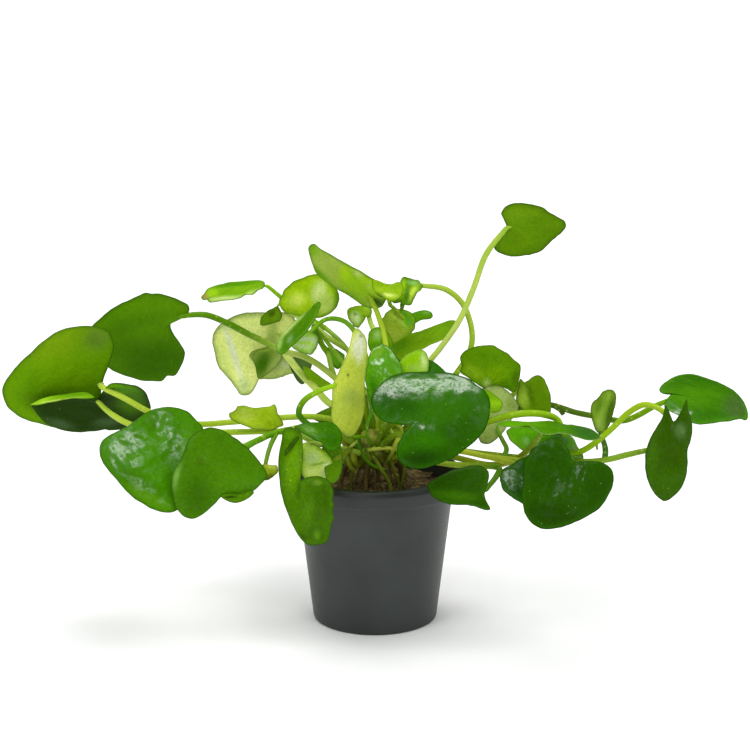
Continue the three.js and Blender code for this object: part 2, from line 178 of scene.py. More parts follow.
def finished(piece, slot, *nodes):
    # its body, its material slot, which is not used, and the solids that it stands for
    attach(piece, "root")
    if nodes:
        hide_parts(*nodes)


print("camera, light and floor")
# size in pixels, elevation in degrees; the camera looks along Y at the target
photo = {
    "size": 750, "elevation": 14, "distance": 667, "lens": 100, "sensor": 36, "target": (0, 0, 81), "near": 10,
}
light = {
    "world": 0.56,
    "aim": (0, 0, 0.08),
    "lamps": {
        # power, angle across in degrees, and where it comes from
        "overheadLight": (1.2, 34, (-0.1, 0.3, 1.0)),
        "leftLight": (0.7, 20, (-0.35, -0.42, 0.85)),
        "rightLight": (0.85, 30, (0.35, -0.42, 0.84)),
        "frontLight": (0.38, 50, (0.3, -1.0, 0.3)),
        "glintLight": (0.24, 14, (-0.2, -1.0, 0.45)),
    },
    "noGlint": "frontLight",  # fills the shadows and isn't seen in the gloss
}
floorValues = {
    "half": 40000, "below": 0.05, "patch": 60, "dark": (0.93, 0.93, 0.93), "pale": (0.95, 0.95, 0.95),
}

tilt = math.radians(photo["elevation"])
cameraData = bpy.data.cameras.new("camera")
cameraData.lens = photo["lens"]
cameraData.sensor_width = photo["sensor"]
cameraData.clip_start = photo["near"] * mm
camera = bpy.data.objects.new("camera", cameraData)
targetX, targetY, targetZ = photo["target"]
camera.location = (
    targetX * mm,
    (targetY - photo["distance"] * math.cos(tilt)) * mm,
    (targetZ + photo["distance"] * math.sin(tilt)) * mm,
)
camera.rotation_euler = (math.pi / 2 - tilt, 0, 0)
scene.collection.objects.link(camera)
scene.camera = camera


def onPhoto(points):
    # where a point in millimetres lands on the photo, in its pixels
    p = np.asarray(points) - np.array(photo["target"])
    away = photo["distance"] + p[:, 1] * math.cos(tilt) - p[:, 2] * math.sin(tilt)
    up = p[:, 1] * math.sin(tilt) + p[:, 2] * math.cos(tilt)
    scale = photo["lens"] / photo["sensor"] * photo["size"] / away
    half = photo["size"] / 2
    return np.stack([half + p[:, 0] * scale, half - up * scale], axis=1)


for name, (power, angle, place) in light["lamps"].items():
    data = bpy.data.lights.new(name, "SUN")
    data.energy = power
    data.angle = math.radians(angle)
    lamp = bpy.data.objects.new(name, data)
    lamp.location = place
    aim = np.array(light["aim"]) - np.array(place)
    lamp.rotation_euler = (
        math.atan2(math.hypot(aim[0], aim[1]), -aim[2]),
        0,
        math.atan2(aim[1], aim[0]) - math.pi / 2,
    )
    scene.collection.objects.link(lamp)
    lamp.visible_glossy = name != light["noGlint"]

world = bpy.data.worlds.new("studio")
world.use_nodes = True
background = world.node_tree.nodes["Background"]
background.inputs["Color"].default_value = (1, 1, 1, 1)
background.inputs["Strength"].default_value = light["world"]
world.cycles_visibility.glossy = False  # the wet leaves mirror the lamps alone
scene.world = world
scene.view_settings.view_transform = "Standard"

floorFinish = Finish("paleFloor", Roughness=0.9)
floorFinish.shader.inputs["Specular IOR Level"].default_value = 0.0
floorPatches = floorFinish.noise(floorValues["patch"])
floorFinish.feed("Base Color", floorFinish.mix(floorPatches, floorValues["dark"], floorValues["pale"]))
floorCorners = [(x * floorValues["half"], y * floorValues["half"], -floorValues["below"])
                for x, y in ((-1, -1), (1, -1), (1, 1), (-1, 1))]
floor = addMesh("floor", floorCorners, [(0, 1, 2, 3)], floorFinish.material, smooth=False)


print("leaf finishes")
leafFinishes = {
    "leaf_fresh": {"roughness": 0.5, "coat": 0.04, "grain": 0.16, "mottle": 1.0},
    "leaf_deep": {"roughness": 0.5, "coat": 0.04, "grain": 0.16, "mottle": 1.1},
    "leaf_olive": {"roughness": 0.6, "coat": 0.01, "grain": 0.1, "mottle": 0.8},
    "leaf_pale": {"roughness": 0.6, "coat": 0.02, "grain": 0.14, "mottle": 1.0},
    "leaf_lime": {"roughness": 0.55, "coat": 0.03, "grain": 0.12, "mottle": 1.0},
}
# what all leaves share: sizes and depths in millimetres, then strengths and tints
leafSkin = {
    "cloud": 5.5, "fine": 0.8, "net": 2.6, "speck": 1.7, "speckPatch": 3, "wetPatch": 4, "pit": 0.9,
    "bend": 9, "unevenGloss": 2.5, "pucker": 2.4, "grain": 0.85, "veinHeight": 0.05, "veinReach": (20, 3),
    "cloudStrength": 0.48, "fineStrength": 0.58, "veinStrength": 0.5, "netStrength": 0.14, "speckStrength": 0.35,
    "fanSpread": 2.3, "fanBend": 0.35, "fanStart": 4.0, "fanWidth": 0.25, "puckerDepth": 2.2,
    "cloudTint": (0.68, 0.76, 0.5), "fineTint": (0.6, 0.68, 0.4), "veinTint": (1.9, 1.6, 2.2),
    "speckColour": (0.62, 0.72, 0.2),
}


def leafFinish(name, values):
    skin = leafSkin
    finish = Finish(name, Coat_Roughness=0.2, Coat_IOR=1.8, IOR=1.4)
    finish.shader.inputs["Specular IOR Level"].default_value = 0.06
    finish.shader.inputs["Specular Tint"].default_value = (0.85, 1.0, 0.3, 1)
    tone = finish.attribute("tone", 0)
    u = finish.attribute("alongBlade")
    v = finish.attribute("acrossBlade")
    reach = (u * u + v * v + 0.0001) ** 0.5
    turn = finish.node("Math", {"operation": "ARCTAN2"}, i0=v, i1=u)
    warp = finish.noise(skin["bend"]) - 0.5
    # main veins fan out from the stalk, and a fine net lies between them
    fanTurn = turn * skin["fanSpread"] + skin["fanBend"] * warp + skin["fanStart"]
    fan = finish.node("Math", {"operation": "PINGPONG"}, i0=fanTurn, i1=0.5)
    vein = finish.shade(0.09, 0.0, fan * reach * skin["fanWidth"]) * finish.shade(*skin["veinReach"], reach)
    netLine = finish.shade(0.1, 0.0, finish.cells(skin["net"], "DISTANCE_TO_EDGE"))
    veinShow = finish.attribute("veinShow")
    cloud = finish.shade(0.3, 0.72, finish.noise(skin["cloud"], 3))
    mottled = finish.mix(cloud * skin["cloudStrength"] * values["mottle"], tone, skin["cloudTint"], "MULTIPLY")
    fine = finish.shade(0.38, 0.7, finish.noise(skin["fine"], 3, 0.6))
    speckled = finish.mix(fine * skin["fineStrength"] * values["mottle"], mottled, skin["fineTint"], "MULTIPLY")
    veins = (vein * skin["veinStrength"] + netLine * skin["netStrength"]) * veinShow
    veined = finish.mix(veins, speckled, skin["veinTint"], "MULTIPLY")
    specks = finish.cells(skin["speck"], "F1")
    dots = finish.shade(0.11, 0.06, specks) * finish.shade(0.55, 0.62, finish.noise(skin["speckPatch"]))
    finish.feed("Base Color", finish.mix(dots * skin["speckStrength"], veined, skin["speckColour"]))
    shine = finish.attribute("shine")
    uneven = finish.noise(skin["unevenGloss"], 3) - 0.5
    finish.feed("Roughness", (values["roughness"] - 0.12 * shine + 0.16 * uneven).clamped())
    # the wet shine is broken up by larger patches and by fine pits
    patchy = finish.shade(0.35, 0.62, finish.noise(skin["wetPatch"], 3))
    pits = finish.shade(0.36, 0.56, finish.noise(skin["pit"], 3, 0.6))
    wet = values["coat"] * (0.4 + patchy) + shine * (0.5 + 0.6 * patchy)
    finish.feed("Coat Weight", (wet * (0.12 + pits)).clamped())
    pucker = finish.bump(finish.noise(skin["pucker"], 2), skin["puckerDepth"] * values["grain"])
    grain = finish.bump(finish.noise(skin["grain"], 3, 0.6), values["grain"], 1.0, pucker)
    finish.feed("Normal", finish.bump(vein + 0.4 * netLine, skin["veinHeight"], 0.8, grain))
    return finish.material


leafMaterials = {name: leafFinish(name, values) for name, values in leafFinishes.items()}


# Leaves. base is where the stem meets the blade, tip the far end of the midrib, faces the way the
# upper side looks, widths the half widths left and right of the midrib, middle the pixel that the rings
# spread from, joint the end of the stalk where it isn't at base. arch, fold and cup are angles in degrees.
# top and under are the colours of the two sides, on some leaves lightened and on others darkened as painted light
# and shade, rim that of the margin. trace is the outline in pixels of the photo. marks are soft patches there,
# some the leaf's own colour and some painted shade, shadow, highlights and reflections: x, y, the radii both
# ways, turn in degrees, colour, strength.
# shines are wet patches, without a colour.
plainLeaf = {
    "faces": (0, -0.8, 0.6), "slot": "fresh", "arch": 15, "fold": 0, "cup": 0, "wave": 0.3, "ripples": 3,
    "rim": None, "rimWidth": 1.2, "marks": (), "shines": (), "thickness": 0.5, "frill": 0.15,
    "veins": 0.07, "pucker": 0.16, "veinShow": 0.35, "trace": (), "middle": None, "joint": None, "rib": 1.5,
}
blade = {
    "sectors": 112, "rings": 24, "smallSectors": 64, "smallRings": 15, "bigLength": 19, "bigWidth": 12,
    "ringSpread": 1.45, "frillWaves": (5, 8, 13, 19), "wideRipple": 7.5, "fineRipple": 3.0, "fineShare": 0.3,
    "rimStrength": 0.75, "edgeShade": 0.45, "edgeWidth": 0.4, "farFromRim": 20.0, "firstSeed": 11,
}
# a height that comes from a few crossing waves; pitches are shares of the ripple's size
rippleWaves = {"count": 9, "shortest": 0.7, "longest": 1.6, "level": 3.5}
# ridges of the main veins: their angles, how much they bend, half width and where they reach full height
veinRidges = {
    "angles": (-128, -92, -64, -40, -19, 0, 19, 40, 64, 92, 128), "bend": 0.012, "width": 0.32, "rise": 3,
}

leaves = {
    "leaf_01": {
        "base": (-88, 5, 77), "tip": (-119.5, 0, 74), "faces": (-0.1, 0.9, 0.35), "widths": (22.5, 15),
        "slot": "olive", "top": "#3f7000", "under": "#6a9a02", "rim": "#4c7c0a",
        "trace": ((2, 392), (4, 384), (9, 376), (18, 365), (28, 355), (38, 345), (50, 335), (62, 329), (75, 326),
          (90, 326), (101, 328), (109, 332), (113, 340), (114, 347), (112, 356), (109, 366), (105, 376),
          (103, 383), (101, 395), (95, 408), (83, 420), (68, 427), (54, 428), (40, 424), (27, 420), (15, 414),
          (6, 405)),
        "marks": ((62, 340, 46, 17, -12, "#7c9c10", 0.6), (30, 388, 24, 20, 30, "#5c8e02", 0.7),
          (62, 404, 38, 12, 4, "#3d6204", 0.85), (92, 352, 20, 26, 0, "#5c8e04", 0.6),
          (98, 338, 14, 12, 0, "#56722c", 0.6)),
    },
    "leaf_02": {
        "base": (-68, 30, 92), "tip": (-96, 25, 87), "faces": (-0.1, 0.9, 0.4), "widths": (12.5, 23.5),
        "slot": "olive", "joint": (-64.3, 29.6, 94), "top": "#3f7000", "under": "#5f9404", "rim": "#46760a",
        "trace": ((90, 333), (92, 326), (100, 319), (110, 310), (120, 304), (130, 299), (139, 295), (145, 292),
          (151, 293), (160, 293), (170, 296), (180, 300), (187, 304), (190, 309), (188, 314), (182, 319),
          (172, 323), (171, 328), (175, 335), (181, 344), (185, 351), (184, 359), (181, 366), (177, 374),
          (173, 376), (167, 376), (164, 380), (160, 382), (150, 382), (140, 381), (130, 378), (120, 374),
          (110, 369), (100, 360), (92, 346)),
        "marks": ((158, 364, 48, 30, -10, "#356400", 0.9), (140, 322, 40, 8, -14, "#4c8004", 0.6),
          (120, 345, 22, 18, 0, "#4a7a02", 0.5)),
    },
    "leaf_03": {
        "base": (-88.5, -4, 74), "tip": (-90.5, 6, 60.5), "faces": (0, 0.8, 0.5), "widths": (18.5, 18.5),
        # under is darkened as painted shadow of leaf_01, which lies over it
        "slot": "olive", "top": "#6ca00c", "under": "#1c3600", "rim": "#2c4e04",
        "trace": ((31, 405), (38, 402), (47, 399), (60, 397.5), (75, 396), (85, 396), (92, 399), (97, 397),
          (101, 393), (106, 387), (111, 383), (120, 383), (130, 385), (138, 387), (145, 392), (149, 400),
          (151, 408), (148, 416), (138, 423), (128, 428), (118, 430), (109, 431), (105, 430), (95, 432),
          (80, 433), (66, 431), (54, 427), (45, 422), (38, 415), (33, 409)),
        # the two grey-blue marks along the lower edge are painted reflections
        "marks": ((120, 388, 26, 6, 8, "#62a00c", 1.0), (132, 402, 16, 12, 0, "#4c7a06", 0.8),
          (108, 422, 16, 5, -8, "#46603c", 0.6), (58, 424, 16, 5, 12, "#46603c", 0.6)),
    },
    "leaf_04": {
        "base": (-59, -40, 65), "tip": (-83.5, -45, 68.5), "faces": (-0.16, -0.8, 0.6), "widths": (17.5, 16.5),
        "cup": -9, "arch": 12, "pucker": 0.3, "top": "#428000", "under": "#5b9217", "rim": "#3f7a04",
        "trace": ((99, 450), (100, 445), (103, 440), (110, 435), (120, 430), (130, 424), (140, 416), (150, 410),
          (160, 407), (170, 406), (180, 408), (189, 412), (196, 420), (203, 428), (206, 440), (202, 460),
          (194, 480), (185, 500), (176, 511), (165, 513), (156, 511), (147, 507), (137, 501), (129, 494),
          (121, 486), (115, 478), (107, 469), (101, 459)),
        "marks": ((140, 490, 36, 14, 40, "#336400", 0.6), (150, 420, 30, 10, -30, "#386c00", 0.5),
          (178, 470, 14, 34, 0, "#3a7400", 0.6), (150, 500, 26, 8, 28, "#5c9404", 0.6),
          (188, 450, 8, 20, 0, "#5a9604", 0.5)),
        "shines": ((124, 450, 19, 24, 25, 1.2), (167, 430, 11, 28, -22, 1.0), (146, 488, 30, 6, 40, 0.35)),
    },
    "leaf_05": {
        "base": (-45.5, -50, 56.5), "tip": (-50.5, -46, 76.5), "faces": (0, -0.85, 0.5), "widths": (15, 15.5),
        "slot": "deep", "cup": -10, "top": "#437602", "under": "#5b8a20", "rim": "#3f7406",
        "trace": ((210, 427), (200, 430), (192, 435), (187, 443), (184, 452), (179, 462), (174, 470), (171, 480),
          (172, 492), (174, 505), (179, 512), (185, 517), (192, 519), (200, 516), (207, 511), (215, 504),
          (221, 498), (226, 495), (235, 496), (244, 495), (252, 492), (260, 486), (265, 480), (267, 475),
          (265, 469), (260, 462), (252, 452), (245, 445), (235, 437), (225, 431), (217, 428)),
        "marks": ((175, 466, 5.5, 38, 12, "#8ab858", 0.95), (192, 434, 16, 4, -35, "#6ea02c", 0.7),
          (196, 498, 16, 22, 0, "#305c00", 0.7), (199, 462, 5, 5, 0, "#3c5f04", 0.6),
          (236, 478, 20, 14, 0, "#4c8400", 0.5)),
    },
    "leaf_06": {
        "base": (-29, -15, 66), "tip": (-46.5, -15, 71.5), "widths": (3, 6), "wave": 0.7, "slot": "lime",
        # its pale lime colours are partly painted light shining through the thin blade
        "pucker": 0.35, "top": "#9fba20", "under": "#a8bb3a", "rim": "#7d9c1e",
        "trace": ((229, 413), (232, 412), (235, 410), (237, 407), (241, 406), (246, 406), (251, 407), (258, 407),
          (264, 406), (270, 406), (274, 404), (276, 407), (278, 414), (282, 420), (284, 425), (279, 427),
          (273, 430), (265, 431), (254, 430), (248, 428), (243, 425), (237, 422), (231, 419), (229, 416)),
        "marks": ((265, 418, 14, 10, 30, "#8cac04", 0.8), (246, 416, 8, 6, 0, "#b2c24e", 0.7),
          (240, 410, 8, 3, 0, "#a6bc50", 0.6)),
    },
    "leaf_07": {
        "base": (-36.5, 45, 101.5), "tip": (-58.5, 45, 97), "faces": (0, -0.15, 1), "widths": (10, 9),
        "top": "#78ac00", "under": "#86b41c", "rim": "#6a9a1c",
        "trace": ((201, 297), (204, 294), (207, 290), (213, 287), (221, 284), (231, 281), (243, 281), (255, 281),
          (261, 281), (265, 283), (264, 288), (260, 289), (257, 291), (253, 294), (246, 295), (240, 299),
          (231, 301), (221, 301), (211, 302), (208, 301), (206, 299), (203, 300)),
        "marks": ((205, 297, 4, 6, 0, "#a8784c", 1.0), (226, 299.5, 24, 3.2, -4, "#cfe48c", 1.0),
          (212, 293, 7, 5, 0, "#9ccc14", 0.8), (250, 294, 10, 2.6, -24, "#c2dc6c", 0.9),
          (236, 284, 28, 2.6, -6, "#4a8c00", 0.8)),
    },
    "leaf_08": {
        "base": (-22.5, 40, 90.5), "tip": (-22, 36, 107), "faces": (-0.1, -0.85, 0.5), "widths": (10.5, 10.5),
        "slot": "lime", "cup": -20, "pucker": 0.3, "top": "#a9d008", "under": "#b0cd40", "rim": "#6c9c10",
        "trace": ((279, 300), (282, 295), (284, 290), (289, 285), (295, 280), (302, 278), (309, 275), (316, 274),
          (325, 276), (333, 283), (338, 291), (340, 297), (339, 303), (337, 308), (333, 312), (329, 315),
          (324, 317), (318, 318), (308, 317), (299, 316), (293, 315), (286, 314), (281, 310), (279, 305)),
        "marks": ((339, 299, 5, 18, 5, "#4f8c04", 0.95), (331, 282, 4, 8, -40, "#6fa008", 0.7),
          # the four whitish marks over the middle are painted highlights
          (297, 300, 9, 7, -20, "#d6e85c", 0.9), (319, 292, 7, 11, 15, "#e0f09c", 0.9),
          (325, 300, 9, 8, 0, "#d0ea74", 0.8), (326, 308, 8, 6, -30, "#d4e878", 0.9),
          (290, 312, 10, 4, 10, "#8fb414", 0.6)),
    },
    "leaf_09": {
        "base": (-1, 15, 103.5), "tip": (-21, 15, 120.5), "faces": (0.3, 0.55, 0.75), "widths": (8.5, 12),
        # under is the pale under side, partly lightened as painted light shining through the blade
        "slot": "lime", "cup": 3, "arch": 6, "top": "#7fae12", "under": "#aac44e", "rim": "#5e9208",
        "trace": ((308, 248), (310, 245), (314, 244), (318, 248), (325, 252), (335, 257), (345, 262), (355, 267),
          (362, 271), (370, 277), (378, 282), (384, 286), (386, 291), (387, 297), (385, 303), (380, 308),
          (372, 308), (363, 305), (358, 302), (348, 296), (338, 291), (332, 287), (325, 281), (317, 274),
          (313, 265), (310, 256)),
        "marks": ((313, 250, 6, 7, 0, "#84bc04", 0.9), (322, 277, 22, 4, 45, "#74b004", 0.95),
          (348, 275, 8, 12, 0, "#a9d40c", 1.0), (360, 287, 22, 15, 34, "#9ccc08", 1.0),
          # the two pale marks at 359, 274 and 369, 284 are painted highlights
          (345, 272, 5, 6, 0, "#b4dc14", 0.9), (359, 274, 6, 3.5, 30, "#d2e288", 0.9),
          (369, 284, 3, 4, 0, "#cfe27c", 0.9), (368, 281, 11, 6, 35, "#acd814", 0.9),
          # the dark mark at 378, 303 is painted shadow under the folded lobe
          (384, 291, 9, 6, 20, "#a2cc1c", 0.9), (378, 303, 10, 5, 25, "#3a5c08", 0.95),
          (348, 296, 16, 4, 30, "#6aa804", 0.8)),
    },
    "leaf_10": {
        "base": (14.5, 10, 108.5), "tip": (6, 10, 105), "widths": (4, 3), "wave": 0.5, "pucker": 0.6,
        "top": "#6c9c04", "under": "#8eaa5e", "rim": "#5c9010",
        "trace": ((400, 284), (401, 280), (404, 277), (409, 278), (414, 279), (418, 279), (421, 282), (423, 286),
          (421, 291), (418, 293), (415, 298), (412, 303), (410, 305), (404, 305), (400, 303), (395, 304),
          (391, 301), (391, 297), (395, 294), (399, 290)),
        "marks": ((402, 286, 3, 9, 10, "#b4e024", 0.9), (412, 294, 3.5, 9, 30, "#cce44c", 0.9),
          # the dark mark at 407, 296 is painted shade in the hollow of the crumpled blade, and the blue-green one
          # at 412, 282 a painted highlight
          (407, 296, 3, 9, 10, "#3a7406", 0.9), (412, 282, 5, 3, 0, "#8cc06c", 0.8),
          (398, 301, 6, 3, 0, "#2f5c08", 0.8)),
    },
    "leaf_11": {
        "base": (-33.5, 55, 82), "tip": (-45.5, 58, 60), "faces": (0, 1, 0.1), "widths": (20, 3.5),
        # under is the pale under side, lightened further as painted light shining through and against the shade
        # it lies in
        "slot": "pale", "top": "#7fa33a", "under": "#f8ff9c", "rim": "#86a44c",
        "trace": ((216, 328), (221, 323), (228, 319), (234, 316), (243, 313), (254, 312), (264, 312), (275, 312),
          (286, 312), (295, 318), (297, 330), (290, 343), (278, 354), (268, 364), (262, 372), (259, 380),
          (256, 386), (253, 391), (249, 395), (243, 396), (239, 394), (236, 389), (231, 383), (225, 375),
          (219, 368), (216, 360), (214, 350), (212, 341), (213, 334)),
        # the long whitish mark at 233, 352 is a painted sheen along the fold
        "marks": ((233, 352, 3.5, 34, -18, "#f0f6e0", 0.85), (243, 386, 8, 8, 0, "#cfe49c", 0.8),
          (224, 362, 5, 22, -25, "#d4e880", 0.6), (226, 326, 12, 5, -25, "#d4e698", 0.7),
          # the pale mark at 250, 332 is painted light over a shaded part
          (272, 334, 6, 14, 10, "#a9c45c", 0.8), (250, 332, 14, 16, 0, "#f0fa9c", 0.8),
          (244, 316, 20, 3, 0, "#c2d880", 0.6)),
    },
    "leaf_12": {
        "base": (-32.5, 50, 94), "tip": (-39, 50, 87), "faces": (0, -0.8, 0.5), "widths": (3.5, 3.5),
        "slot": "olive", "top": "#6a9410", "under": "#7aa020", "rim": "#5c860c",
        "trace": ((260, 323), (261, 318), (264, 314), (268, 310), (273, 308), (278, 306), (281, 311), (282, 316),
          (280, 321), (275, 323), (268, 325), (263, 326), (260, 325)),
        "marks": ((271, 313, 4.5, 4, -40, "#3d5406", 0.9),),
    },
    "leaf_13": {
        "base": (-21.5, 17, 91.5), "tip": (-27.5, 30, 91), "faces": (-0.73, -0.29, 0.6), "widths": (10.5, 10.5),
        "thickness": 0.7, "frill": 0.03, "wave": 0.05, "top": "#4f8600", "under": "#86b41c", "rim": "#6aa420",
        "trace": ((320, 302), (317, 302), (313, 307), (305, 313), (298, 318), (291, 325), (285, 331), (280, 338),
          (277, 344), (276, 349), (278, 353), (281, 355), (285, 353), (291, 347), (298, 341), (305, 334),
          (311, 326), (316, 318), (319, 310), (321, 305)),
        "marks": ((296, 320, 28, 2.8, -48, "#c4e07c", 0.95), (279, 345, 2.6, 8, 20, "#a9d06c", 0.9),
          # the small whitish mark at 290, 339 is a painted glint
          (300, 334, 26, 3, -48, "#427a00", 0.8), (290, 339, 3, 5, 20, "#b4d6a0", 0.25)),
    },
    "leaf_14": {
        "base": (-19, 30, 89), "tip": (-25, 30, 82.5), "faces": (0, -0.7, 0.7), "widths": (5, 5), "slot": "pale",
        # top is lightened as painted light against the shade that leaf_13 casts on it
        "top": "#d0fa70", "under": "#a6c660", "rim": "#6fae20",
        "trace": ((291, 341), (297, 335), (306, 331), (313, 331), (317, 334), (319, 340), (317, 347), (314, 352),
          (311, 355), (305, 354), (297, 351), (291, 347)),
        "marks": ((306, 339, 13, 2.4, 3, "#e8facc", 1.0), (303, 346.5, 12, 2, 8, "#e0f4bc", 1.0),
          (315, 341, 3, 4, 0, "#f0fcd8", 0.9), (310, 353, 5, 2, 0, "#d4eca8", 0.8)),
    },
    "leaf_15": {
        "base": (-16, 35, 81), "tip": (-10, 35, 75.5), "faces": (0, -0.7, 0.7), "widths": (4, 4), "slot": "deep",
        "top": "#78bc20", "under": "#5c8a2c", "rim": "#4f8c14",
        "trace": ((328, 347), (334, 348), (340, 351), (345, 355), (343, 363), (339, 369), (334, 367), (329, 362),
          (326, 356), (325, 351)),
    },
    "leaf_16": {
        "base": (-13, -25, 84), "tip": (-2.5, -8, 83), "faces": (-0.9, 0.45, 0.1), "widths": (17.5, 18),
        # under is the pale under side, partly lightened as painted light shining through
        "slot": "pale", "pucker": 0.1, "frill": 0.03, "wave": 0.05, "top": "#8fb030", "under": "#dcea54",
        "rim": "#c0d850",
        "trace": ((357, 328), (353, 331), (351, 340), (349, 348), (345, 358), (341, 366), (337, 375), (333, 383),
          (332, 392), (332, 405), (331, 417), (333, 424), (338, 430), (343, 434), (348, 437), (353, 436),
          (357, 431), (361, 423), (364, 414), (365, 405), (365, 392), (365, 380), (366, 365), (367, 352),
          (367, 343), (365, 336), (361, 331)),
        # the three near-white marks at the top, at 357, 345, 360, 355 and 361, 344, are painted highlights
        "marks": ((357, 345, 6, 12, 12, "#ffffd8", 0.9), (360, 355, 4, 10, 0, "#f4fcb8", 0.7),
          (351, 397, 9, 10, 0, "#b4cc5c", 0.7), (340, 410, 8, 14, 0, "#c8de58", 0.6),
          (361, 344, 5, 16, 8, "#fffff0", 0.8), (348, 375, 1.6, 1.6, 0, "#5c7020", 0.9),
          (361, 336, 2, 1.6, 0, "#6f8030", 0.8), (344, 436, 5, 2, 0, "#e2ecb4", 0.8)),
    },
    "leaf_17": {
        "base": (-2.5, 28, 96.5), "tip": (-7, 28, 91.5), "faces": (0, -0.8, 0.5), "widths": (4, 4),
        "slot": "lime", "top": "#86b40c", "under": "#a6c640", "rim": "#7aa814",
        "trace": ((347, 311), (349, 308), (355, 306), (362, 305), (369, 306), (372, 310), (372, 315), (369, 317),
          (366, 317), (364, 321), (361, 325), (359, 328), (355, 327), (351, 323), (348, 319), (347, 315)),
        "marks": ((355, 319, 6, 7, 0, "#c9dc98", 0.9), (355, 314, 2, 2, 0, "#6f8c50", 0.8),
          (367, 311, 4, 3, 0, "#a4bc3c", 0.6)),
    },
    "leaf_18": {
        "base": (9, 25, 96.5), "tip": (4.5, 21.5, 85.4), "faces": (0, -0.8, 0.5), "widths": (6.5, 6.5),
        "slot": "pale", "thickness": 0.6, "top": "#93b02c", "under": "#9db547", "rim": "#6f9c1c",
        "trace": ((384, 315), (389, 310), (395, 308.5), (401, 309), (407, 310), (412, 312.5), (415, 317),
          (416, 323), (415, 329), (411, 334), (405, 340), (397, 347), (388, 349), (383, 341), (381, 330),
          (381, 321)),
        "marks": ((404, 313, 11, 5, 40, "#58a404", 0.95), (409, 321, 6, 7, 40, "#5aa608", 0.9),
          # the dark strip at 390, 347 along the lower edge is painted shade
          (391, 335, 8, 9, 0, "#a4b83c", 0.8), (390, 347, 12, 3, 0, "#3f5c04", 0.9),
          (398, 320, 11, 1.2, 38, "#b9d45c", 0.8)),
        "shines": ((406, 319, 3, 8, -40, 0.8),),
    },
    "leaf_19": {
        "base": (6.5, 12, 85.5), "tip": (26.5, 12, 96), "faces": (-0.3, -0.2, 0.9), "widths": (6, 9),
        "top": "#689204", "under": "#9abf48", "rim": "#8ab420", "rimWidth": 0.7,
        "trace": ((391, 348), (396, 343), (402, 339), (410, 334), (418, 331), (426, 328), (435, 325), (443, 323),
          (450, 321), (456, 321), (457, 324), (452, 331), (446, 337), (439, 341), (431, 345), (425, 349),
          (417, 353), (408, 358), (402, 361), (396, 357)),
        "marks": ((400, 345, 10, 7, -30, "#4c8000", 0.9), (440, 330, 14, 6, -20, "#74a408", 0.6)),
    },
    "leaf_20": {
        "base": (1.5, -22, 77.5), "tip": (4, -17, 94.5), "widths": (5, 6), "cup": -8, "arch": 44, "pucker": 0.24,
        "top": "#559800", "under": "#6ea52a", "rim": "#5a9c10",
        "trace": ((371, 350), (375, 347), (380, 345), (385, 345), (390, 348), (395, 354), (400, 361), (403, 370),
          (402, 382), (398, 392), (390, 400), (380, 402), (373, 401), (369, 396), (367, 389), (365, 380),
          (366, 368), (368, 358)),
        "marks": ((372, 390, 7, 14, 0, "#2f7000", 0.85), (376, 352, 9, 6, -30, "#80b414", 0.7)),
        "shines": ((385, 360, 15, 19, -25, 1.2),),
    },
    "leaf_21": {
        "base": (10.5, -15, 85.5), "tip": (16, -15, 93), "faces": (0.1, -0.7, 0.7), "widths": (5, 5),
        "slot": "lime", "cup": -20, "top": "#92c80c", "under": "#8fb83c", "rim": "#8fbc3c",
        "trace": ((395, 372), (399, 364), (404, 356), (412, 351), (420, 349), (426, 352), (429, 360), (429, 367),
          (427, 373), (417, 376), (407, 377), (398, 376)),
        # the whitish mark at 425, 361 is a painted highlight
        "marks": ((425, 361, 4.5, 9, 0, "#dcf0a0", 0.9), (415, 368, 9, 4, 0, "#a9cc5c", 0.6)),
    },
    "leaf_22": {
        "base": (11.5, -50, 78), "tip": (35, -46, 81), "faces": (0, -0.75, 0.65), "widths": (17, 14.5),
        "slot": "deep", "cup": -26, "pucker": 0.24, "middle": (435, 415), "top": "#296000", "under": "#4d8a14",
        "rim": "#286000",
        "trace": ((371, 404), (371, 398), (374, 392), (379, 386), (385, 381), (393, 376), (403, 373), (413, 372),
          (427, 371), (440, 371), (451, 372), (461, 375), (470, 379), (477, 385), (484, 390), (488, 396),
          (490, 403), (490, 412), (489, 420), (485, 430), (478, 439), (470, 446), (462, 452), (454, 458),
          (445, 462), (436, 465), (427, 468), (418, 469), (410, 468), (403, 465), (398, 459), (397, 451),
          (399, 443), (403, 434), (408, 428), (412, 425), (404, 425), (395, 424), (386, 422), (379, 418),
          (373, 411)),
        "marks": ((430, 384, 60, 9, 0, "#4a8814", 0.5), (452, 440, 34, 16, -35, "#1f4e00", 0.75),
          (425, 405, 36, 12, 0, "#2f6c00", 0.5), (398, 404, 26, 14, 10, "#1c4e00", 0.75),
          (420, 461, 28, 10, 0, "#143800", 0.9), (432, 440, 18, 8, 0, "#347600", 0.5)),
        "shines": ((420, 382, 58, 12, -2, 1.25), (468, 390, 22, 9, 38, 0.9), (382, 396, 10, 13, 30, 1.0),
          (420, 426, 11, 4, 12, 0.9)),
    },
    "leaf_23": {
        "base": (35.5, -3, 78), "tip": (37.5, -3, 91.5), "faces": (0, -0.8, 0.5), "widths": (9.5, 9.5),
        "slot": "olive", "veinShow": 1.0, "top": "#5c8c02", "under": "#7aa020", "rim": "#578604",
        "trace": ((460, 357), (464, 351), (470, 348), (476, 346), (485, 345), (493, 345), (500, 349), (508, 353),
          (515, 360), (520, 364), (521, 370), (520, 377), (518, 384), (516, 391), (512, 393), (508, 390),
          (500, 387), (492, 388), (486, 389), (478, 385), (468, 378), (460, 373), (461, 366)),
        "marks": ((490, 356, 26, 7, 10, "#548204", 0.6), (472, 372, 13, 7, 30, "#7ea214", 0.85),
